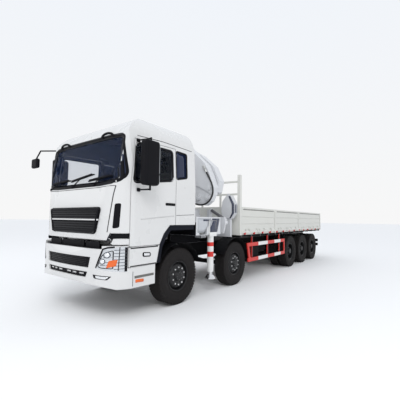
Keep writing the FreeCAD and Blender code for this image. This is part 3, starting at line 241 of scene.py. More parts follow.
interior = finish_of("interior_trim", (0.045, 0.047, 0.052), 0.7, grain=0.1, bump=0.3)
tinted = glass_of("tinted_glass", (0.030, 0.060, 0.16), (0.98, 0.985, 0.99), 0.05)
side_tint = glass_of("side_glass", (0.012, 0.018, 0.028), (0.96, 0.97, 0.98), 0.05)
corner_glass = finish_of("corner_glass", (0.010, 0.018, 0.050), 0.10, grain=0.02, shine=0.4)


def dress(names, material):
    """Gives CAD nodes a material."""
    for name in names:
        data = cad[name].data
        data.materials.clear()
        data.materials.append(material)
        for polygon in data.polygons:
            polygon.material_index = 0


PANEL_NODES = ["side_%s_%d" % (side, number) for side, _ in SIDES for number in (1, 2, 3)]
KNUCKLE_NODES = ["knuckle_%d_%s" % (number, side) for number in (1, 2) for side, _ in SIDES]
dress(["cab_shell", "door_left", "door_right"], white)
dress(["front_bumper"], bumper_white)
dress(["cab_glass"], tinted)
dress(["door_glass_left", "door_glass_right"], side_tint)
dress(["cab_grille", "bumper_grille", "front_mirror", "mirror_left", "mirror_right"], plastic)
dress(["cab_interior"], interior)
dress(["headlamps"], clear_lens)
dress(["chassis_frame", "engine_block", "front_axles", "rear_axles", "tanks", "mudguards"], black)
dress(KNUCKLE_NODES, black)
dress(["bed_deck"], deck_white)
dress(["headboard", "tailgate"] + PANEL_NODES, bed_white)
dress(["side_guards"], striped)
dress(["crane_base", "crane_column", "lift_barrel"], crane_white)
dress(["inner_boom", "outer_boom", "boom_extension"], crane_white)
dress(["outrigger_left", "outrigger_right"], jack_striped)
dress(["jack_left", "jack_right", "lift_rod"], rod_chrome)
dress(["oil_tank"], tank_grey)
dress(["hook"], steel)


# Making pieces

def new_piece(name, data, body, material):
    """Object for a finished mesh or curve, riding on a CAD body."""
    piece = bpy.data.objects.new(name, data)
    bpy.context.scene.collection.objects.link(piece)
    data.materials.append(material)
    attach(piece, body)
    return piece


def from_bmesh(bm, name, angle=35):
    """Finished mesh with smooth shading, in which edges sharper than the angle stay sharp."""
    mesh = bpy.data.meshes.new(name)
    bmesh.ops.recalc_face_normals(bm, faces=bm.faces)
    bm.to_mesh(mesh)
    bm.free()
    for polygon in mesh.polygons:
        polygon.use_smooth = True
    mesh.set_sharp_from_angle(angle=math.radians(angle))
    return mesh


def mesh_piece(name, bm, body, material):
    """Smooth-shaded piece from a bmesh, riding on a CAD body."""
    return new_piece(name, from_bmesh(bm, name), body, material)


def add_box(bm, low, high, material=0, turn=None, about=None):
    """Box between two corners, turned if a matrix is given."""
    made = bmesh.ops.create_cube(bm, size=1.0)["verts"]
    size = Vector(high) - Vector(low)
    middle = (Vector(high) + Vector(low)) / 2
    for vertex in made:
        vertex.co = Vector([vertex.co[i] * size[i] for i in range(3)])
        if turn is not None:
            vertex.co = turn @ vertex.co
        vertex.co += middle if about is None else Vector(about)
    for face in {f for vertex in made for f in vertex.link_faces}:
        face.material_index = material


def add_rod(bm, start, end, radius, segments=16, material=0, end_radius=None):
    """Closed cylinder or cone between two points."""
    start = Vector(start)
    end = Vector(end)
    far = radius if end_radius is None else end_radius
    made = bmesh.ops.create_cone(bm, cap_ends=True, segments=segments, radius1=radius, radius2=far,
                                 depth=(end - start).length)["verts"]
    turn = (end - start).to_track_quat("Z", "Y").to_matrix()
    for vertex in made:
        vertex.co = turn @ vertex.co + (start + end) / 2
    for face in {f for vertex in made for f in vertex.link_faces}:
        face.material_index = material


def add_lathe(bm, profile, segments=64, material=0):
    """Surface turned about the X axis. Profile points are (x, radius)."""
    rings = []
    for x, radius in profile:
        if radius < 1e-6:
            rings.append([bm.verts.new((x, 0, 0))])
            continue
        ring = []
        for step in range(segments):
            angle = 2 * math.pi * step / segments
            ring.append(bm.verts.new((x, radius * math.sin(angle), radius * math.cos(angle))))
        rings.append(ring)
    for first, second in zip(rings, rings[1:]):
        for step in range(segments):
            after = (step + 1) % segments
            corners = []
            for ring, index in ((first, step), (first, after), (second, after), (second, step)):
                vertex = ring[index] if len(ring) > 1 else ring[0]
                if vertex not in corners:
                    corners.append(vertex)
            if len(corners) > 2:
                bm.faces.new(corners).material_index = material


def rounded(points, radius, steps=4):
    """Outline with its corners rounded."""
    count = len(points)
    made = []
    for index in range(count):
        before = Vector(points[index - 1])
        corner = Vector(points[index])
        after = Vector(points[(index + 1) % count])
        reach_in = min(radius, (before - corner).length * 0.45)
        reach_out = min(radius, (after - corner).length * 0.45)
        start = corner + (before - corner).normalized() * reach_in
        end = corner + (after - corner).normalized() * reach_out
        for step in range(steps + 1):
            t = step / steps
            made.append(tuple(start * (1 - t) ** 2 + corner * 2 * t * (1 - t) + end * t * t))
    return made


# Thin pieces draped on the CAD surfaces. Each view looks along one axis and gives points as pairs.
VIEWS = {
    "front": (lambda a, b: Vector((a, -8, b)), Vector((0, 1, 0))),
    "left": (lambda a, b: Vector((3, a, b)), Vector((-1, 0, 0))),
    "right": (lambda a, b: Vector((-3, a, b)), Vector((1, 0, 0))),
}
# how much deeper than its nearest point a draped piece may reach
REACH = {"front": 0.45, "left": 0.12, "right": 0.12}
surfaces = {}


def surface_of(names):
    """Search tree over the meshes of some CAD nodes."""
    key = tuple(names)
    if key not in surfaces:
        vertices = []
        faces = []
        for name in names:
            start = len(vertices)
            vertices.extend(v.co.copy() for v in cad[name].data.vertices)
            faces.extend([start + i for i in p.vertices] for p in cad[name].data.polygons)
        surfaces[key] = BVHTree.FromPolygons(vertices, faces)
    return surfaces[key]


def drape_mesh(bm, view, names, lift):
    """Moves a flat mesh, whose x and y are the view's pair, on to the surface seen in that view."""
    place, direction = VIEWS[view]
    tree = surface_of(names)
    missed = []
    found = []
    hits = []
    for vertex in bm.verts:
        start = place(vertex.co.x, vertex.co.y)
        _, _, _, depth = tree.ray_cast(start, direction)
        hits.append((vertex, start, depth))
    nearest = min(depth for _, _, depth in hits if depth is not None)
    for vertex, start, depth in hits:
        if depth is None or depth > nearest + REACH[view]:
            missed.append((vertex, start))
        else:
            vertex.co = start + direction * (depth - lift)
            found.append(vertex.co.copy())
    for vertex, start in missed:
        near = min(found, key=lambda p: ((p - start) - direction * (p - start).dot(direction)).length)
        vertex.co = start + direction * (near - start).dot(direction)


def decal(name, view, outline, names, body, material, lift=0.003, thick=0.004, grid=0.05):
    """Thin plate of the given outline, draped on a surface."""
    bm = bmesh.new()
    bm.faces.new([bm.verts.new((a, b, 0)) for a, b in outline])
    for axis in (0, 1):
        values = [p[axis] for p in outline]
        cuts = int((max(values) - min(values)) / grid)
        for number in range(1, cuts + 1):
            at = min(values) + number * (max(values) - min(values)) / (cuts + 1)
            normal = (1, 0, 0) if axis == 0 else (0, 1, 0)
            centre = (at, 0, 0) if axis == 0 else (0, at, 0)
            geometry = bm.verts[:] + bm.edges[:] + bm.faces[:]
            bmesh.ops.bisect_plane(bm, geom=geometry, plane_co=centre, plane_no=normal)
    drape_mesh(bm, view, names, lift)
    return plate_piece(name, bm, view, body, material, thick)


def plate_piece(name, bm, view, body, material, thick):
    """Piece of even thickness from a draped mesh, its face turned to the view."""
    mesh = from_bmesh(bm, name)
    _, direction = VIEWS[view]
    if sum(p.normal.dot(direction) for p in mesh.polygons) > 0:
        mesh.flip_normals()
    piece = new_piece(name, mesh, body, material)
    solid = piece.modifiers.new("thickness", "SOLIDIFY")
    solid.thickness = thick
    solid.offset = -1
    return piece


def soften(piece, width, segments=2):
    """Small rounding on a piece's sharp edges."""
    bevel = piece.modifiers.new("soft_edges", "BEVEL")
    bevel.width = width
    bevel.segments = segments
    bevel.limit_method = "ANGLE"


def strip(name, view, path, width, names, body, material, lift=0.003, thick=0.004, closed=False,
          step=0.04):
    """Ribbon of even width along a path, draped on a surface."""
    points = [Vector(p) for p in path]
    if closed:
        points.append(points[0])
    fine = []
    for start, end in zip(points, points[1:]):
        count = max(1, int((end - start).length / step))
        fine.extend(start.lerp(end, n / count) for n in range(count))
    if not closed:
        fine.append(points[-1])
    bm = bmesh.new()
    rows = []
    for index, point in enumerate(fine):
        if closed:
            ahead = fine[(index + 1) % len(fine)] - fine[index - 1]
        else:
            ahead = fine[min(index + 1, len(fine) - 1)] - fine[max(index - 1, 0)]
        across = Vector((-ahead.y, ahead.x)).normalized() * width / 2
        rows.append([bm.verts.new((*(point + across * s), 0)) for s in (1, 0, -1)])
    pairs = list(zip(rows, rows[1:]))
    if closed:
        pairs.append((rows[-1], rows[0]))
    for first, second in pairs:
        for k in (0, 1):
            bm.faces.new((first[k], first[k + 1], second[k + 1], second[k]))
    drape_mesh(bm, view, names, lift)
    return plate_piece(name, bm, view, body, material, thick)


def mirrored(points, side):
    """Pairs with their first value turned to the given side."""
    return [(side * a, b) for a, b in points]


def tube(name, points, radius, body, material, joints=6):
    """Round bar or hose through points."""
    curve = bpy.data.curves.new(name, "CURVE")
    curve.dimensions = "3D"
    curve.bevel_depth = radius
    curve.bevel_resolution = joints // 2
    curve.use_fill_caps = True
    spline = curve.splines.new("POLY")
    spline.points.add(len(points) - 1)
    for point, place in zip(spline.points, points):
        point.co = (*place, 1)
    return new_piece(name, curve, body, material)


# Tyres and rims. A wheel's faces take their materials by number.
RUBBER, RIM, NUT, HOLE = range(4)
RIB_EDGES = (-0.118, -0.074, -0.066, -0.026, -0.018, 0.018, 0.026, 0.066, 0.074, 0.118)
GROOVE = 0.014
LUG_COUNT = 56
LUG_HALF = Vector((0.0125, 0.021, 0.0195))
LUG_X = 0.1285
LUG_CENTRE = TYRE_RADIUS - 0.020
RIM_LIP = [(0.108, RIM_RADIUS - 0.008), (0.126, RIM_RADIUS + 0.010), (0.130, RIM_RADIUS + 0.006)]
NUT_RING = 0.1675
NUT_COUNT = 10
NUT_TIP = 0.008
HOLE_SIZE = 0.020
HOLE_DEPTH = 0.012


def add_tyre(bm, centre):
    """Tyre with grooved tread and lugged shoulders, about the X axis."""
    groove = TYRE_RADIUS - GROOVE
    tread = []
    for start, end in zip(RIB_EDGES[0::2], RIB_EDGES[1::2]):
        tread += [(start, groove), (start, TYRE_RADIUS), (end, TYRE_RADIUS), (end, groove)]
    side = [(0.108, RIM_RADIUS - 0.006), (0.122, RIM_RADIUS + 0.012), (0.134, RIM_RADIUS + 0.030),
            (0.138, RIM_RADIUS + 0.036), (0.143, 0.372), (TYRE_HALF - 0.001, 0.430), (0.146, 0.470),
            (0.142, 0.476), (0.141, 0.500), (0.136, 0.522)]
    profile = [(-x, r) for x, r in side] + tread + [(x, r) for x, r in reversed(side)]
    add_lathe(bm, [(centre + x, r) for x, r in profile], 84, RUBBER)
    for number in range(LUG_COUNT):
        angle = 2 * math.pi * number / LUG_COUNT
        for hand in (1, -1):
            shift = 0.5 * math.pi / LUG_COUNT * (1 - hand)
            turn = Matrix.Rotation(-(angle + shift), 3, "X")
            about = turn @ Vector((0, 0, LUG_CENTRE))
            add_box(bm, -LUG_HALF, LUG_HALF, RUBBER, turn, (centre + hand * LUG_X, about.y, about.z))


def add_nuts(bm, x_low, x_high, ring, count, size, material):
    """Ring of six-sided nuts with tapered tips."""
    for number in range(count):
        angle = 2 * math.pi * number / count
        y = ring * math.sin(angle)
        z = ring * math.cos(angle)
        add_rod(bm, (x_low, y, z), (x_high - NUT_TIP, y, z), size, 6, material)
        add_rod(bm, (x_high - NUT_TIP, y, z), (x_high, y, z), size * 0.72, 10, material, size * 0.45)


def add_holes(bm, x, ring):
    """Hand holes, as dark discs sunk between the nuts."""
    for number in range(NUT_COUNT):
        angle = 2 * math.pi * (number + 0.5) / NUT_COUNT
        y = ring * math.sin(angle)
        z = ring * math.cos(angle)
        add_rod(bm, (x - HOLE_DEPTH, y, z), (x, y, z), HOLE_SIZE, 14, HOLE)


def wheel_mesh(bm, name, nut_material):
    """Finished wheel, with its materials in the order of their numbers."""
    mesh = from_bmesh(bm, name, 30)
    for material in (rubber, rim_black, nut_material, plastic):
        mesh.materials.append(material)
    return mesh


def steer_wheel_mesh():
    """Wheel of a steered axle, its outside towards +X."""
    bm = bmesh.new()
    add_tyre(bm, 0)
    lip = RIM_LIP + [(0.124, RIM_RADIUS - 0.010), (0.104, RIM_RADIUS - 0.018)]
    dish = [(0.060, 0.262), (0.072, 0.250), (0.100, 0.222), (0.114, 0.208), (0.119, 0.198), (0.119, 0.120),
            (0.119, 0.110), (0.128, 0.106), (0.150, 0.094), (0.160, 0.088), (0.163, 0.080), (0.163, 0.060),
            (0.169, 0.056), (0.169, 0.0)]
    add_lathe(bm, lip + dish, 72, RIM)
    back = [(-x, r) for x, r in RIM_LIP]
    back += [(-0.112, RIM_RADIUS - 0.016), (0.040, 0.262), (0.060, 0.240), (0.050, 0.205), (-0.035, 0.205),
             (-0.040, 0.150), (-0.040, 0.062)]
    add_lathe(bm, back, 60, RIM)
    add_nuts(bm, 0.118, 0.150, NUT_RING, NUT_COUNT, 0.017, NUT)
    add_nuts(bm, 0.162, 0.168, 0.070, 8, 0.006, NUT)
    add_holes(bm, 0.099, 0.232)
    return wheel_mesh(bm, "steer_wheel", nut)


def dual_wheel_mesh():
    """Pair of driven or trailing wheels on one hub, the outside towards +X."""
    bm = bmesh.new()
    open_side = RIM_LIP + [(0.112, RIM_RADIUS - 0.016)]
    for centre, face in ((DUAL_OFFSET, -1), (-DUAL_OFFSET, 1)):
        add_tyre(bm, centre)
        disc = centre + face * 0.118
        barrel = [(centre - face * x, r) for x, r in open_side]
        barrel += [(centre + face * 0.05, 0.262), (disc - face * 0.014, 0.205), (disc - face * 0.014, 0.120)]
        add_lathe(bm, barrel, 66, RIM)
        closed_side = [(centre + face * x, r) for x, r in open_side]
        closed_side += [(disc - face * 0.05, 0.255), (disc, 0.200), (disc, 0.120)]
        add_lathe(bm, closed_side, 66, RIM)
    hub = [(-0.188, 0.062), (-0.188, 0.139), (0.228, 0.139), (0.228, 0.108), (0.236, 0.106), (0.284, 0.088),
           (0.287, 0.080), (0.287, 0.0)]
    add_lathe(bm, hub, 48, RIM)
    add_nuts(bm, 0.064, 0.098, NUT_RING, NUT_COUNT, 0.016, NUT)
    add_nuts(bm, 0.228, 0.240, 0.121, 12, 0.008, RIM)
    add_holes(bm, 0.066, 0.228)
    return wheel_mesh(bm, "dual_wheel", steel)


steer_mesh = steer_wheel_mesh()
dual_mesh = dual_wheel_mesh()
for number, axle_y in enumerate(AXLES, start=1):
    for side_name, side in SIDES:
        node = "wheel_%d_%s" % (number, side_name)
        front = number <= STEERED_AXLES
        piece = bpy.data.objects.new("looks_" + node, steer_mesh if front else dual_mesh)
        bpy.context.scene.collection.objects.link(piece)
        x = side * (FRONT_TRACK if front else DUAL_CENTRE)
        turn = Matrix.Rotation(0 if side > 0 else math.pi, 4, "Z")
        piece.matrix_world = Matrix.Translation((x, axle_y, TYRE_RADIUS)) @ turn
        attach(piece, node + "_body")
        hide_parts(node)

# Cab front: windscreen surround, seams, vents and grille
CAB_SKIN = ["cab_shell"]
CAB_AND_GLASS = ["cab_shell", "cab_glass"]
WINDSCREEN_MIDDLE = 2.68
WINDSCREEN = [(-1.120, 2.300), (-0.700, 2.262), (0.700, 2.262), (1.120, 2.300), (1.085, 3.060),
              (0.700, 3.085), (-0.700, 3.085), (-1.085, 3.060)]
OUTER_EDGE = [(-1.165, 2.315), (-0.700, 2.250), (0.700, 2.250), (1.165, 2.315), (1.195, 2.42),
              (1.140, 3.060), (0.700, 3.098), (-0.700, 3.098), (-1.140, 3.060), (-1.195, 2.42)]
CORNER_GLASS = [(1.121, 2.290), (1.150, 2.310), (1.190, 2.410), (1.138, 3.050), (1.087, 3.070)]
COWL = [(-1.10, 2.268), (-0.70, 2.236), (0.70, 2.236), (1.02, 2.262)]
for side_name, side in SIDES:
    decal("corner_glass_" + side_name, "front", rounded(mirrored(CORNER_GLASS, side), 0.03), CAB_SKIN,
          "cab", corner_glass, lift=0.002, thick=0.003, grid=0.03)
border = [(a * 1.013, WINDSCREEN_MIDDLE + (b - WINDSCREEN_MIDDLE) * 1.015) for a, b in WINDSCREEN]
strip("windscreen_border", "front", rounded(border, 0.08, 5), 0.080, CAB_AND_GLASS, "cab", gloss,
      lift=0.004, thick=0.010, closed=True)
strip("windscreen_seal", "front", rounded(OUTER_EDGE, 0.05, 4), 0.026, CAB_SKIN, "cab", plastic,
      closed=True, lift=0.005, thick=0.006)
strip("cowl", "front", COWL, 0.058, CAB_SKIN, "cab", plastic, lift=0.004, thick=0.006)

FLAP_SIDE = [(1.075, 2.200), (1.045, 2.05), (0.965, 1.44)]
SEAMS = [
    # name, width, path
    ("flap_seam_top", 0.010, [(-1.10, 2.200), (-0.70, 2.180), (0.70, 2.180), (1.075, 2.200)]),
    ("flap_seam_left", 0.014, FLAP_SIDE),
    ("flap_seam_right", 0.014, mirrored(FLAP_SIDE, -1)),
]
for name, width, path in SEAMS:
    strip(name, "front", path, width, CAB_SKIN, "cab", seam, lift=0.0015, thick=0.003)

# Recessed black band above the headlamps
BAND = [(0.962, 1.312), (1.014, 1.419), (1.225, 1.419), (1.225, 1.341), (1.064, 1.341), (1.030, 1.270)]
SIDE_BAND = [(-5.625, 1.419), (-5.513, 1.419), (-5.513, 1.341), (-5.625, 1.341)]
for side_name, side in SIDES:
    decal("cab_band_" + side_name, "front", mirrored(BAND, side), CAB_SKIN, "cab", plastic, lift=0.006,
          thick=0.006, grid=0.02)
    decal("cab_band_side_" + side_name, side_name, SIDE_BAND, CAB_SKIN, "cab", plastic, lift=0.002,
          thick=0.003, grid=0.02)

VENT = [(1.070, 1.905), (1.145, 1.915), (1.130, 1.515), (1.045, 1.500)]
GRILLE = [(-0.810, 1.838), (0.810, 1.838), (0.700, 1.415), (-0.700, 1.415)]
for side_name, side in SIDES:
    decal("corner_vent_" + side_name, "front", rounded(mirrored(VENT, side), 0.03), CAB_SKIN, "cab",
          plastic, thick=0.006, grid=0.02)
strip("grille_surround", "front", rounded(GRILLE, 0.05, 4), 0.030, CAB_SKIN + ["cab_grille"], "cab", gloss,
      closed=True, lift=0.004)

SLAT_COUNT = 9
SLAT_PITCH = 0.041
SLAT_LOW = 1.460
STRIP_Z = 1.640
bm = bmesh.new()
for number in range(SLAT_COUNT):
    z = SLAT_LOW + number * SLAT_PITCH
    if abs(z - STRIP_Z) > SLAT_PITCH / 2:
        reach = 0.672 + (z - SLAT_LOW) * 0.26
        add_box(bm, (-reach, CAB_FRONT + 0.001, z - 0.012), (reach, CAB_FRONT + 0.024, z + 0.012))
add_box(bm, (-0.735, CAB_FRONT + 0.028, 1.440), (0.735, CAB_FRONT + 0.034, 1.815))
mesh_piece("grille_slats", bm, "cab", gloss)
bm = bmesh.new()
add_box(bm, (-0.795, CAB_FRONT - 0.004, STRIP_Z - 0.012), (0.795, CAB_FRONT + 0.012, STRIP_Z + 0.012))
mesh_piece("grille_strip", bm, "cab", chrome)

# Black covers on the cab's tilt brackets
bm = bmesh.new()
for side in (1, -1):
    middle = side * BRACKET_X
    add_box(bm, (middle - 0.0215, -5.7495, 1.1705), (middle + 0.0215, -5.6905, 1.306))
mesh_piece("lug_covers", bm, "cab", plastic)

# Wipers: pivot, arm and blade with its spoiler
WIPERS = [
    # pivot x, blade's two ends as (x, z)
    (-0.98, (-1.00, 2.335), (-0.34, 2.375)),
    (-0.20, (-0.30, 2.345), (0.42, 2.440)),
    (0.50, (0.28, 2.320), (0.96, 2.375)),
]
PIVOT_Z = 2.225
SPOILER = Vector((0, -0.014, 0.008))
GLASS_LOW = 2.26
GLASS_HIGH = 3.11
GLASS_SET_BACK = 0.120
GLASS_LEAN = 0.120


def glass_y(z):
    """Front of the windscreen at a height, on the flat middle."""
    share = (z - GLASS_LOW) / (GLASS_HIGH - GLASS_LOW)
    return CAB_FRONT + GLASS_SET_BACK + share * GLASS_LEAN


for number, (pivot_x, start, end) in enumerate(WIPERS, start=1):
    bm = bmesh.new()
    heel = Vector((start[0], glass_y(start[1]), start[1]))
    tip = Vector((end[0], glass_y(end[1]), end[1]))
    add_rod(bm, heel, tip, 0.014, 8)
    add_rod(bm, heel.lerp(tip, 0.08) + SPOILER, heel.lerp(tip, 0.92) + SPOILER, 0.021, 8)
    pivot = Vector((pivot_x, CAB_FRONT + 0.090, PIVOT_Z))
    add_rod(bm, pivot + Vector((0, 0.03, 0)), pivot + Vector((0, -0.020, 0)), 0.028, 14)
    clamp = heel.lerp(tip, 0.5) + Vector((0, -0.024, 0.004))
    add_rod(bm, pivot + Vector((0, -0.012, 0)), clamp, 0.012, 8, 0, 0.008)
    mesh_piece("wiper_%d" % number, bm, "cab", plastic)

# Arched handles on the roof's front edge, and the lamp on the roof
GRIP_HALF = 0.155
GRIP_RISE = 0.055
GRIP_STEPS = 14
for number, grip_x in enumerate((-0.75, 0.655), start=1):
    points = []
    for step in range(GRIP_STEPS + 1):
        angle = math.pi * step / GRIP_STEPS
        points.append((grip_x - GRIP_HALF * math.cos(angle), CAB_FRONT + 0.228 - 0.014 * math.sin(angle),
                       3.100 + GRIP_RISE * math.sin(angle)))
    tube("roof_handle_%d" % number, points, 0.021, "cab", plastic)
    bm = bmesh.new()
    for end in (1, -1):
        foot_x = grip_x + end * 0.150
        add_box(bm, (foot_x - 0.035, CAB_FRONT + 0.215, 3.080), (foot_x + 0.035, CAB_FRONT + 0.262, 3.112))
    mesh_piece("roof_handle_feet_%d" % number, bm, "cab", plastic)
bm = bmesh.new()
add_rod(bm, (0.48, -4.77, 3.575), (0.48, -4.77, 3.612), 0.050, 20, 0, 0.040)
mesh_piece("roof_lamp", bm, "cab", lamp_grey)

# Cab sides: window seals, door handles, side lamps, step and the lines between panels
DOOR_WINDOW = [(-5.400, 2.960), (-4.500, 2.975), (-4.500, 2.400), (-5.455, 2.270)]
REAR_WINDOW = [(-4.390, 3.000), (-4.070, 2.990), (-4.075, 2.500), (-4.390, 2.440)]
REAR_PANE = [(-4.372, 2.978), (-4.090, 2.968), (-4.094, 2.518), (-4.372, 2.462)]
HANDLE = [(-4.700, 1.965), (-4.430, 1.965), (-4.430, 1.915), (-4.700, 1.915)]
HANDLE_X = 1.246
SIDE_LAMP_RIM = [(-5.235, 1.100), (-5.045, 1.085), (-5.045, 1.010), (-5.235, 1.020)]
SIDE_LAMP = [(-5.205, 1.080), (-5.070, 1.072), (-5.070, 1.030), (-5.205, 1.038)]
SIDE_REFLECTOR = [(-5.37, 0.665), (-5.19, 0.655), (-5.19, 0.605), (-5.37, 0.612)]
TREAD = [(-5.39, 0.722), (-4.96, 0.722), (-4.96, 0.682), (-5.39, 0.682)]
DOOR_CREASE = [(-5.30, 1.655), (-4.46, 1.725)]
BUMPER = ["front_bumper"]
SIDE_LINES = [
    # name, width, path, CAD nodes, body
    ("step_top_line", 0.022, [(-5.495, 1.180), (-4.87, 1.180)], CAB_SKIN, "cab"),
    ("step_low_line", 0.016, [(-5.495, 0.889), (-4.91, 0.889)], CAB_SKIN, "cab"),
    ("bumper_line", 0.010, [(-5.425, 0.800), (-5.425, 0.560)], BUMPER, "chassis"),
    ("quarter_line", 0.009, [(-4.395, 1.735), (-3.84, 1.760)], CAB_SKIN, "cab"),
    ("gutter_line", 0.012, [(-5.38, 3.085), (-4.75, 3.110), (-3.90, 3.090)], CAB_SKIN, "cab"),
]
for side_name, side in SIDES:
    door = "door_" + side_name
    body = door + "_body"
    strip("door_seal_" + side_name, side_name, rounded(DOOR_WINDOW, 0.07, 4), 0.045,
          [door, "door_glass_" + side_name], body, gloss, closed=True)
    strip("rear_seal_" + side_name, side_name, rounded(REAR_WINDOW, 0.04, 4), 0.035, CAB_AND_GLASS, "cab",
          gloss, closed=True)
    decal("rear_pane_" + side_name, side_name, rounded(REAR_PANE, 0.03), ["cab_glass"], "cab", corner_glass,
          lift=0.001, thick=0.002, grid=0.1)
    decal("handle_bed_" + side_name, side_name, rounded(HANDLE, 0.022), [door], body, plastic, grid=0.06)
    bm = bmesh.new()
    grip_x = side * HANDLE_X
    add_box(bm, (grip_x - 0.006, -4.690, 1.948), (grip_x + 0.006, -4.440, 1.962))
    mesh_piece("door_handle_" + side_name, bm, body, gloss)
    decal("side_lamp_rim_" + side_name, side_name, rounded(SIDE_LAMP_RIM, 0.035), CAB_SKIN, "cab", gloss,
          thick=0.006, grid=0.04)
    decal("side_lamp_" + side_name, side_name, rounded(SIDE_LAMP, 0.018), CAB_SKIN, "cab", reflector,
          lift=0.010, thick=0.006, grid=0.04)
    decal("side_reflector_" + side_name, side_name, rounded(SIDE_REFLECTOR, 0.015), BUMPER, "chassis",
          amber, lift=0.005, thick=0.006)
    decal("tread_" + side_name, side_name, TREAD, BUMPER, "chassis", tread_grey, thick=0.003)
    for name, width, path, nodes, carrier in SIDE_LINES:
        strip(name + "_" + side_name, side_name, path, width, nodes, carrier, seam, lift=0.001, thick=0.002)
    strip("door_crease_" + side_name, side_name, DOOR_CREASE, 0.014, [door], body, bumper_white, lift=0.004,
          thick=0.005)

# Flares round the wheel arches of the cab, and their liner
ARCH = [(-4.918, 0.880), (-4.848, 1.190), (-4.732, 1.392), (-4.572, 1.548), (-3.835, 1.549)]
FLARE = [(-3.835, 1.452), (-4.53, 1.450), (-4.655, 1.320), (-4.755, 1.150), (-4.805, 0.880)]
LINER = [(a, b - 0.012) for a, b in ARCH] + [(a, b - 0.03) for a, b in reversed(ARCH)]
for side_name, side in SIDES:
    bm = bmesh.new()
    for low, high, ring in ((1.196, 1.232, ARCH + FLARE), (0.905, 1.196, LINER)):
        near = [bm.verts.new((side * low, a, b)) for a, b in ring]
        far = [bm.verts.new((side * high, a, b)) for a, b in ring]
        count = len(ring)
        for index in range(count):
            after = (index + 1) % count
            bm.faces.new((near[index], near[after], far[after], far[index]))
        for index in range(count // 2 - 1):
            other = count - 1 - index
            for row in (near, far):
                bm.faces.new((row[index], row[index + 1], row[other - 1], row[other]))
    piece = mesh_piece("arch_flare_" + side_name, bm, "cab", flare_black)
    soften(piece, 0.008)

# Mirror faces: the large one and the wide-angle one below it
MIRROR_X = 1.475
MIRROR_HALF = 0.062
for side_name, side in SIDES:
    bm = bmesh.new()
    middle = side * MIRROR_X
    for low, high in ((2.42, 2.92), (2.255, 2.39)):
        add_box(bm, (middle - MIRROR_HALF, -5.172, low), (middle + MIRROR_HALF, -5.166, high))
    mesh_piece("mirror_face_" + side_name, bm, "door_%s_body" % side_name, mirror_glass)

# Headlamps, indicators and fog lamps in the bumper
LAMP_NODES = ["headlamps", "front_bumper"]
LAMP_RIM = [(0.835, 0.872), (0.872, 0.960), (0.952, 1.172), (1.02, 1.196), (1.10, 1.204)]
LAMP_SEAM = [(1.140, 0.830), (1.150, 1.205)]
LAMP_TAIL = [(-5.545, 1.200), (-5.545, 0.815)]
INDICATOR = [(1.035, 0.985), (1.135, 1.010), (1.120, 0.905), (1.005, 0.872)]
FOG = [(0.770, 0.762), (1.075, 0.742), (1.020, 0.684), (0.800, 0.703)]
FOG_LENS = [(0.835, 0.748), (1.045, 0.732), (0.998, 0.694), (0.845, 0.711)]
EYE = [(0.872, 0.895), (0.935, 1.060), (0.985, 1.115), (1.085, 1.150), (1.085, 0.862), (0.92, 0.875)]
BOWLS = [(1.010, 1.078, 0.050), (0.945, 0.975, 0.047)]
LINE_COUNT = 7
LINE_LOW = 0.855
LINE_PITCH = 0.050
FINS = [0.915, 0.960, 1.035, 1.110]
FIN_LOW = 0.862
LINE_RISE = 0.006
SLOT_BITS = [(-0.56, 0.10), (-0.40, 0.08), (-0.24, 0.11), (0.04, 0.12), (0.22, 0.10), (0.40, 0.12)]
SLOT_LOW = 0.735
SLOT_HIGH = 0.762


def disc_outline(x, z, radius, count=20):
    """Round outline about a point."""
    turns = [2 * math.pi * number / count for number in range(count)]
    return [(x + radius * math.cos(turn), z + radius * math.sin(turn)) for turn in turns]


def lamp_strip(name, side, path, width, material, **more):
    """Ribbon on the front of one headlamp."""
    strip(name, "front", mirrored(path, side), width, LAMP_NODES, "chassis", material, **more)


def lamp_decal(name, side, points, nodes, material, **more):
    """Plate on the front of the bumper or a lamp, given for the left side."""
    decal(name, "front", mirrored(points, side), nodes, "chassis", material, **more)


for side_name, side in SIDES:
    lamp_strip("lamp_rim_" + side_name, side, LAMP_RIM, 0.026, gloss)
    lamp_strip("lamp_eye_" + side_name, side, rounded(EYE, 0.02, 3), 0.013, gloss, lift=0.002, thick=0.003,
               closed=True)
    lamp_strip("lamp_seam_" + side_name, side, LAMP_SEAM, 0.009, seam, thick=0.003)
    for number in range(LINE_COUNT):
        z = LINE_LOW + number * LINE_PITCH
        name = "lamp_line_%d_%s" % (number + 1, side_name)
        lamp_strip(name, side, [(1.095, z), (1.215, z + LINE_RISE)], 0.011, lamp_grey, lift=0.001,
                   thick=0.002, step=0.02)
    for number, z in enumerate(FINS, start=1):
        start = 0.892 + (z - FIN_LOW) * 0.40
        name = "lamp_fin_%d_%s" % (number, side_name)
        lamp_strip(name, side, [(start, z), (1.07, z + LINE_RISE)], 0.009, lamp_grey, lift=0.001,
                   thick=0.002)
    for number, (x, z, radius) in enumerate(BOWLS, start=1):
        bowl = disc_outline(x, z, radius)
        core = disc_outline(x, z, radius * 0.72)
        lamp_decal("lamp_bowl_%d_%s" % (number, side_name), side, bowl, LAMP_NODES, lamp_grey, thick=0.003,
                   grid=0.03)
        lamp_decal("lamp_core_%d_%s" % (number, side_name), side, core, LAMP_NODES, reflector, lift=0.006,
                   grid=0.03)
    lamp_decal("indicator_" + side_name, side, rounded(INDICATOR, 0.015), LAMP_NODES, amber, lift=0.006,
               grid=0.03)
    strip("lamp_tail_" + side_name, side_name, LAMP_TAIL, 0.040, LAMP_NODES, "chassis", gloss)
    lamp_decal("fog_bed_" + side_name, side, rounded(FOG, 0.015), BUMPER, gloss, grid=0.04)
    lamp_decal("fog_lamp_" + side_name, side, rounded(FOG_LENS, 0.012), BUMPER, reflector, lift=0.006,
               grid=0.03)

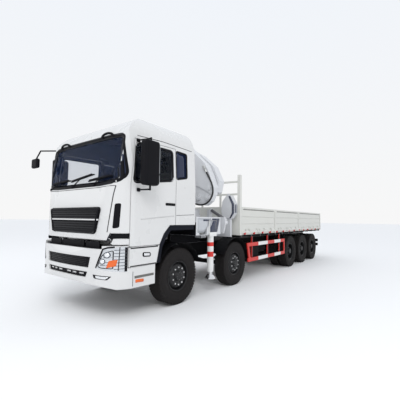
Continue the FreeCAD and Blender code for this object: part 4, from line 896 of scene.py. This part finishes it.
# Bright bits in the bumper's slot, and thin lines in its screen
for number, (x, width) in enumerate(SLOT_BITS, start=1):
    bit = [(x, SLOT_HIGH), (x + width, SLOT_HIGH), (x + width, SLOT_LOW), (x, SLOT_LOW)]
    decal("slot_bit_%d" % number, "front", rounded(bit, 0.01), ["bumper_grille"], "chassis", nut,
          lift=0.004, thick=0.006, grid=0.04)
SCREEN_HALF = 0.64
for number in range(5):
    z = 0.885 + number * 0.030
    strip("screen_line_%d" % number, "front", [(-SCREEN_HALF, z), (SCREEN_HALF, z)], 0.010,
          ["bumper_grille"], "chassis", gloss, lift=0.004, step=0.08)

# Load bed: marker lamps, shade under the top rails, latches
MARKER_COUNT = 14
MARKER_START = -1.62
MARKER_PITCH = 0.555
MARKER_Z = 1.297
LATCH_SHARES = (0.2, 0.42, 0.64, 0.86)
RAIL_SHADOW_END = 0.09
PANEL_SPANS = [(-1.804, 0.419), (0.501, 2.729), (2.811, 5.816)]
for side_name, side in SIDES:
    bm = bmesh.new()
    for number in range(MARKER_COUNT):
        y = MARKER_START + number * MARKER_PITCH
        add_rod(bm, (side * 1.222, y, MARKER_Z), (side * 1.268, y, MARKER_Z), 0.033, 18, 0, 0.028)
    mesh_piece("marker_lamps_" + side_name, bm, "chassis", red_lens)
    for number, (start, end) in enumerate(PANEL_SPANS, start=1):
        node = "side_%s_%d" % (side_name, number)
        body = node + "_body"
        rail_shadow_path = [(start + RAIL_SHADOW_END, 1.950), (end - RAIL_SHADOW_END, 1.950)]
        # painted shadow: a grey strip under the top rail of each side panel
        strip("rail_shadow_" + node, side_name, rail_shadow_path, 0.030, [node], body, shadow, lift=0.001,
              thick=0.002, step=0.2)
        bm = bmesh.new()
        for share in LATCH_SHARES:
            y = start + share * (end - start)
            add_box(bm, (side * 1.253 - 0.006, y - 0.035, 1.395), (side * 1.253 + 0.006, y + 0.035, 1.425))
            add_rod(bm, (side * 1.250, y, 1.375), (side * 1.266, y, 1.375), 0.014, 10)
        mesh_piece("latches_" + node, bm, body, bed_white)

# Dark red hangers of the side guards
HANGERS = (-1.08, -0.02, 0.94)
HANGER_HALF = 0.026
HANGER_X = 1.192
for side_name, side in SIDES:
    middle = side * HANGER_X
    bm = bmesh.new()
    for y in HANGERS:
        for low, high in ((0.612, 0.928), (1.032, 1.196)):
            add_box(bm, (middle - 0.002, y - HANGER_HALF, low), (middle + 0.002, y + HANGER_HALF, high))
    mesh_piece("guard_hangers_" + side_name, bm, "chassis", dark_red)

# Crane: colour panels on the outrigger box and its end plate, strut sleeve, painted shade at the box's front
BOX_PANELS = [
    # name, outline, material, lift
    ("box_dark", [(-3.119, 1.651), (-3.100, 1.690), (-2.800, 1.690), (-2.905, 1.375), (-2.960, 1.375),
                  (-2.960, 1.651)], navy, 0.003),
    ("box_pale", [(-3.660, 1.690), (-3.150, 1.690), (-3.170, 1.651), (-3.240, 1.651), (-3.240, 1.534),
                  (-3.445, 1.375), (-3.660, 1.375)], crane_grey, 0.003),
    ("box_handle", [(-3.455, 1.668), (-3.245, 1.668), (-3.245, 1.628), (-3.455, 1.628)], navy, 0.007),
]
for name, points, material, lift in BOX_PANELS:
    decal(name, "left", points, ["crane_base"], "chassis", material, lift=lift, grid=0.1)

PLATE_PANELS = [
    # name, outline, material
    ("plate_dark", [(-3.232, 1.378), (-3.232, 1.497), (-3.173, 1.542), (-3.123, 1.643), (-2.968, 1.643),
                    (-2.968, 1.378)], navy),
    ("plate_pale", [(-3.232, 1.502), (-3.178, 1.546), (-3.128, 1.643), (-3.232, 1.643)], crane_grey),
]
for name, points, material in PLATE_PANELS:
    decal(name, "left", points, ["outrigger_left"], "outrigger_left_body", material, lift=0.001,
          thick=0.002, grid=0.1)
bm = bmesh.new()
add_rod(bm, (0.770, -2.520, 1.898), (1.190, -2.520, 1.664), 0.0385, 20)
mesh_piece("strut_sleeve", bm, "chassis", steel)
# painted shade: thin black sheets on the front of the crane base and on the faces below it, in place of
# shade
bm = bmesh.new()
add_box(bm, (-1.196, -3.715, 1.324), (1.196, -3.711, 1.600))
for side in (1, -1):
    add_box(bm, (side * 0.432 - 0.002, -3.668, 1.083), (side * 0.432 + 0.002, -2.552, 1.319))
    middle = side * BRACKET_X
    add_box(bm, (middle - 0.045, -3.674, 1.083), (middle + 0.045, -3.6705, 1.319))
mesh_piece("box_front_painted_shade", bm, "chassis", plastic)

# Hose beside the knuckle, smoothed through listed points, and its fittings
HOSE = [(0.975, 2.790), (1.035, 2.690), (1.100, 2.580), (1.150, 2.470), (1.172, 2.350), (1.160, 2.240),
        (1.100, 2.130), (1.010, 2.050), (0.890, 2.010), (0.760, 2.010), (0.640, 2.045)]
HOSE_Y = -3.046
HOSE_RADIUS = 0.021
SLEEVE_RADIUS = 0.028
PARTS = 4
SMOOTHINGS = 6
hose_points = []
for first, last in zip(HOSE, HOSE[1:]):
    for part in range(PARTS):
        x, z = Vector(first).lerp(Vector(last), part / PARTS)
        hose_points.append(Vector((x, HOSE_Y, z)))
hose_points.append(Vector((HOSE[-1][0], HOSE_Y, HOSE[-1][1])))
for _ in range(SMOOTHINGS):
    for index in range(1, len(hose_points) - 1):
        middle = (hose_points[index - 1] + hose_points[index + 1]) / 2
        hose_points[index] = hose_points[index].lerp(middle, 0.5)
tube("crane_hose", hose_points, HOSE_RADIUS, "inner_boom_body", hose_black, 10)
bm = bmesh.new()
add_rod(bm, (0.925, HOSE_Y, 2.875), (0.975, HOSE_Y, 2.790), SLEEVE_RADIUS, 12)
add_rod(bm, (0.880, HOSE_Y, 2.950), (0.925, HOSE_Y, 2.875), 0.038, 6)
add_rod(bm, (0.640, HOSE_Y, 2.045), (0.580, HOSE_Y, 2.075), SLEEVE_RADIUS, 12)
for x, z in ((0.91, 2.90), (0.60, 2.065)):
    add_box(bm, (x - 0.022, -3.040, z - 0.022), (x + 0.022, -3.015, z + 0.022))
mesh_piece("hose_fittings", bm, "inner_boom_body", fitting)

# Dark band round the oil tank's edge
TANK_EDGE = [(1.060, 2.268), (1.115, 2.283), (1.231, 2.076), (1.231, 1.832), (1.138, 1.706), (1.095, 1.706),
             (1.165, 1.840), (1.165, 2.060)]
TANK_END = [(-2.176, 2.06), (-2.024, 2.06), (-2.024, 1.84), (-2.176, 1.84)]
decal("tank_edge", "front", TANK_EDGE, ["oil_tank"], "chassis", navy, grid=0.3)
decal("tank_end", "left", TANK_END, ["oil_tank"], "chassis", navy, grid=0.06)

# Tail lamps in their boxes, under the ends of the rear bar
TAIL_X = 0.96
for side_name, side in SIDES:
    middle = side * TAIL_X
    bm = bmesh.new()
    add_box(bm, (middle - 0.15, 5.868, 0.700), (middle + 0.15, 5.890, 0.800))
    mesh_piece("tail_lamp_" + side_name, bm, "chassis", red_lens)
    bm = bmesh.new()
    add_box(bm, (middle - 0.17, 5.80, 0.690), (middle + 0.17, 5.868, 0.810))
    add_box(bm, (middle - 0.03, 5.82, 0.610), (middle + 0.03, 5.85, 0.700))
    mesh_piece("tail_lamp_box_" + side_name, bm, "chassis", plastic)

# Stage: floor, camera and light
FLOOR_COLOUR = (0.955, 0.955, 0.955, 1)
CAMERA_PLACE = Vector((4.99, -8.608, 1.671))
CAMERA_YAW = math.radians(37.041)
CAMERA_PITCH = math.radians(3.778)
CAMERA_ROLL = math.radians(0.725)
CAMERA_LENS = 26.05
LIGHT_TARGET = Vector((0, -1.5, 1.5))
SKY_LOW = (0.97, 0.97, 0.97, 1)
SKY_HIGH = (0.90, 0.94, 1.0, 1)
SKY_STRENGTH = 0.96

bpy.ops.mesh.primitive_plane_add(size=400, location=(0, 0, -0.001))
floor = bpy.context.object
floor.name = "floor"
floor_paint = bpy.data.materials.new("floor_paint")
floor_paint.use_nodes = True
floor_shader = floor_paint.node_tree.nodes["Principled BSDF"]
floor_shader.inputs["Base Color"].default_value = FLOOR_COLOUR
floor_shader.inputs["Roughness"].default_value = 0.9
floor.data.materials.append(floor_paint)

ahead = math.cos(CAMERA_PITCH)
forward = Vector((-math.sin(CAMERA_YAW) * ahead, math.cos(CAMERA_YAW) * ahead, math.sin(CAMERA_PITCH)))
level = Vector((math.cos(CAMERA_YAW), math.sin(CAMERA_YAW), 0))
above = level.cross(forward)
right = level * math.cos(CAMERA_ROLL) + above * math.sin(CAMERA_ROLL)
up = above * math.cos(CAMERA_ROLL) - level * math.sin(CAMERA_ROLL)
camera_data = bpy.data.cameras.new("camera")
camera_data.lens = CAMERA_LENS
camera_data.sensor_width = 36
camera = bpy.data.objects.new("camera", camera_data)
bpy.context.scene.collection.objects.link(camera)
facing = Matrix((right, up, -forward)).transposed().to_4x4()
camera.matrix_world = Matrix.Translation(CAMERA_PLACE) @ facing
bpy.context.scene.camera = camera

world = bpy.data.worlds.new("studio")
bpy.context.scene.world = world
world.use_nodes = True
sky = world.node_tree
background = sky.nodes["Background"]
where = sky.nodes.new("ShaderNodeTexCoord")
height = sky.nodes.new("ShaderNodeSeparateXYZ")
sky.links.new(where.outputs["Generated"], height.inputs[0])
ramp = sky.nodes.new("ShaderNodeValToRGB")
ramp.color_ramp.elements[0].color = SKY_LOW
ramp.color_ramp.elements[0].position = 0.02
ramp.color_ramp.elements[1].color = SKY_HIGH
ramp.color_ramp.elements[1].position = 0.75
sky.links.new(height.outputs["Z"], ramp.inputs[0])
sky.links.new(ramp.outputs[0], background.inputs[0])
background.inputs["Strength"].default_value = SKY_STRENGTH

LIGHTS = [
    # name, place, size, watts
    ("key_light", (9.0, -13.0, 11.0), 5.0, 650),
    ("fill_light", (-12.0, -12.0, 8.0), 9.0, 120),
]
for name, place, size, power in LIGHTS:
    lamp_data = bpy.data.lights.new(name, "AREA")
    lamp_data.size = size
    lamp_data.energy = power
    lamp = bpy.data.objects.new(name, lamp_data)
    bpy.context.scene.collection.objects.link(lamp)
    lamp.location = place
    lamp.rotation_euler = (LIGHT_TARGET - Vector(place)).to_track_quat("-Z", "Y").to_euler()

bpy.context.scene.view_settings.view_transform = "Standard"
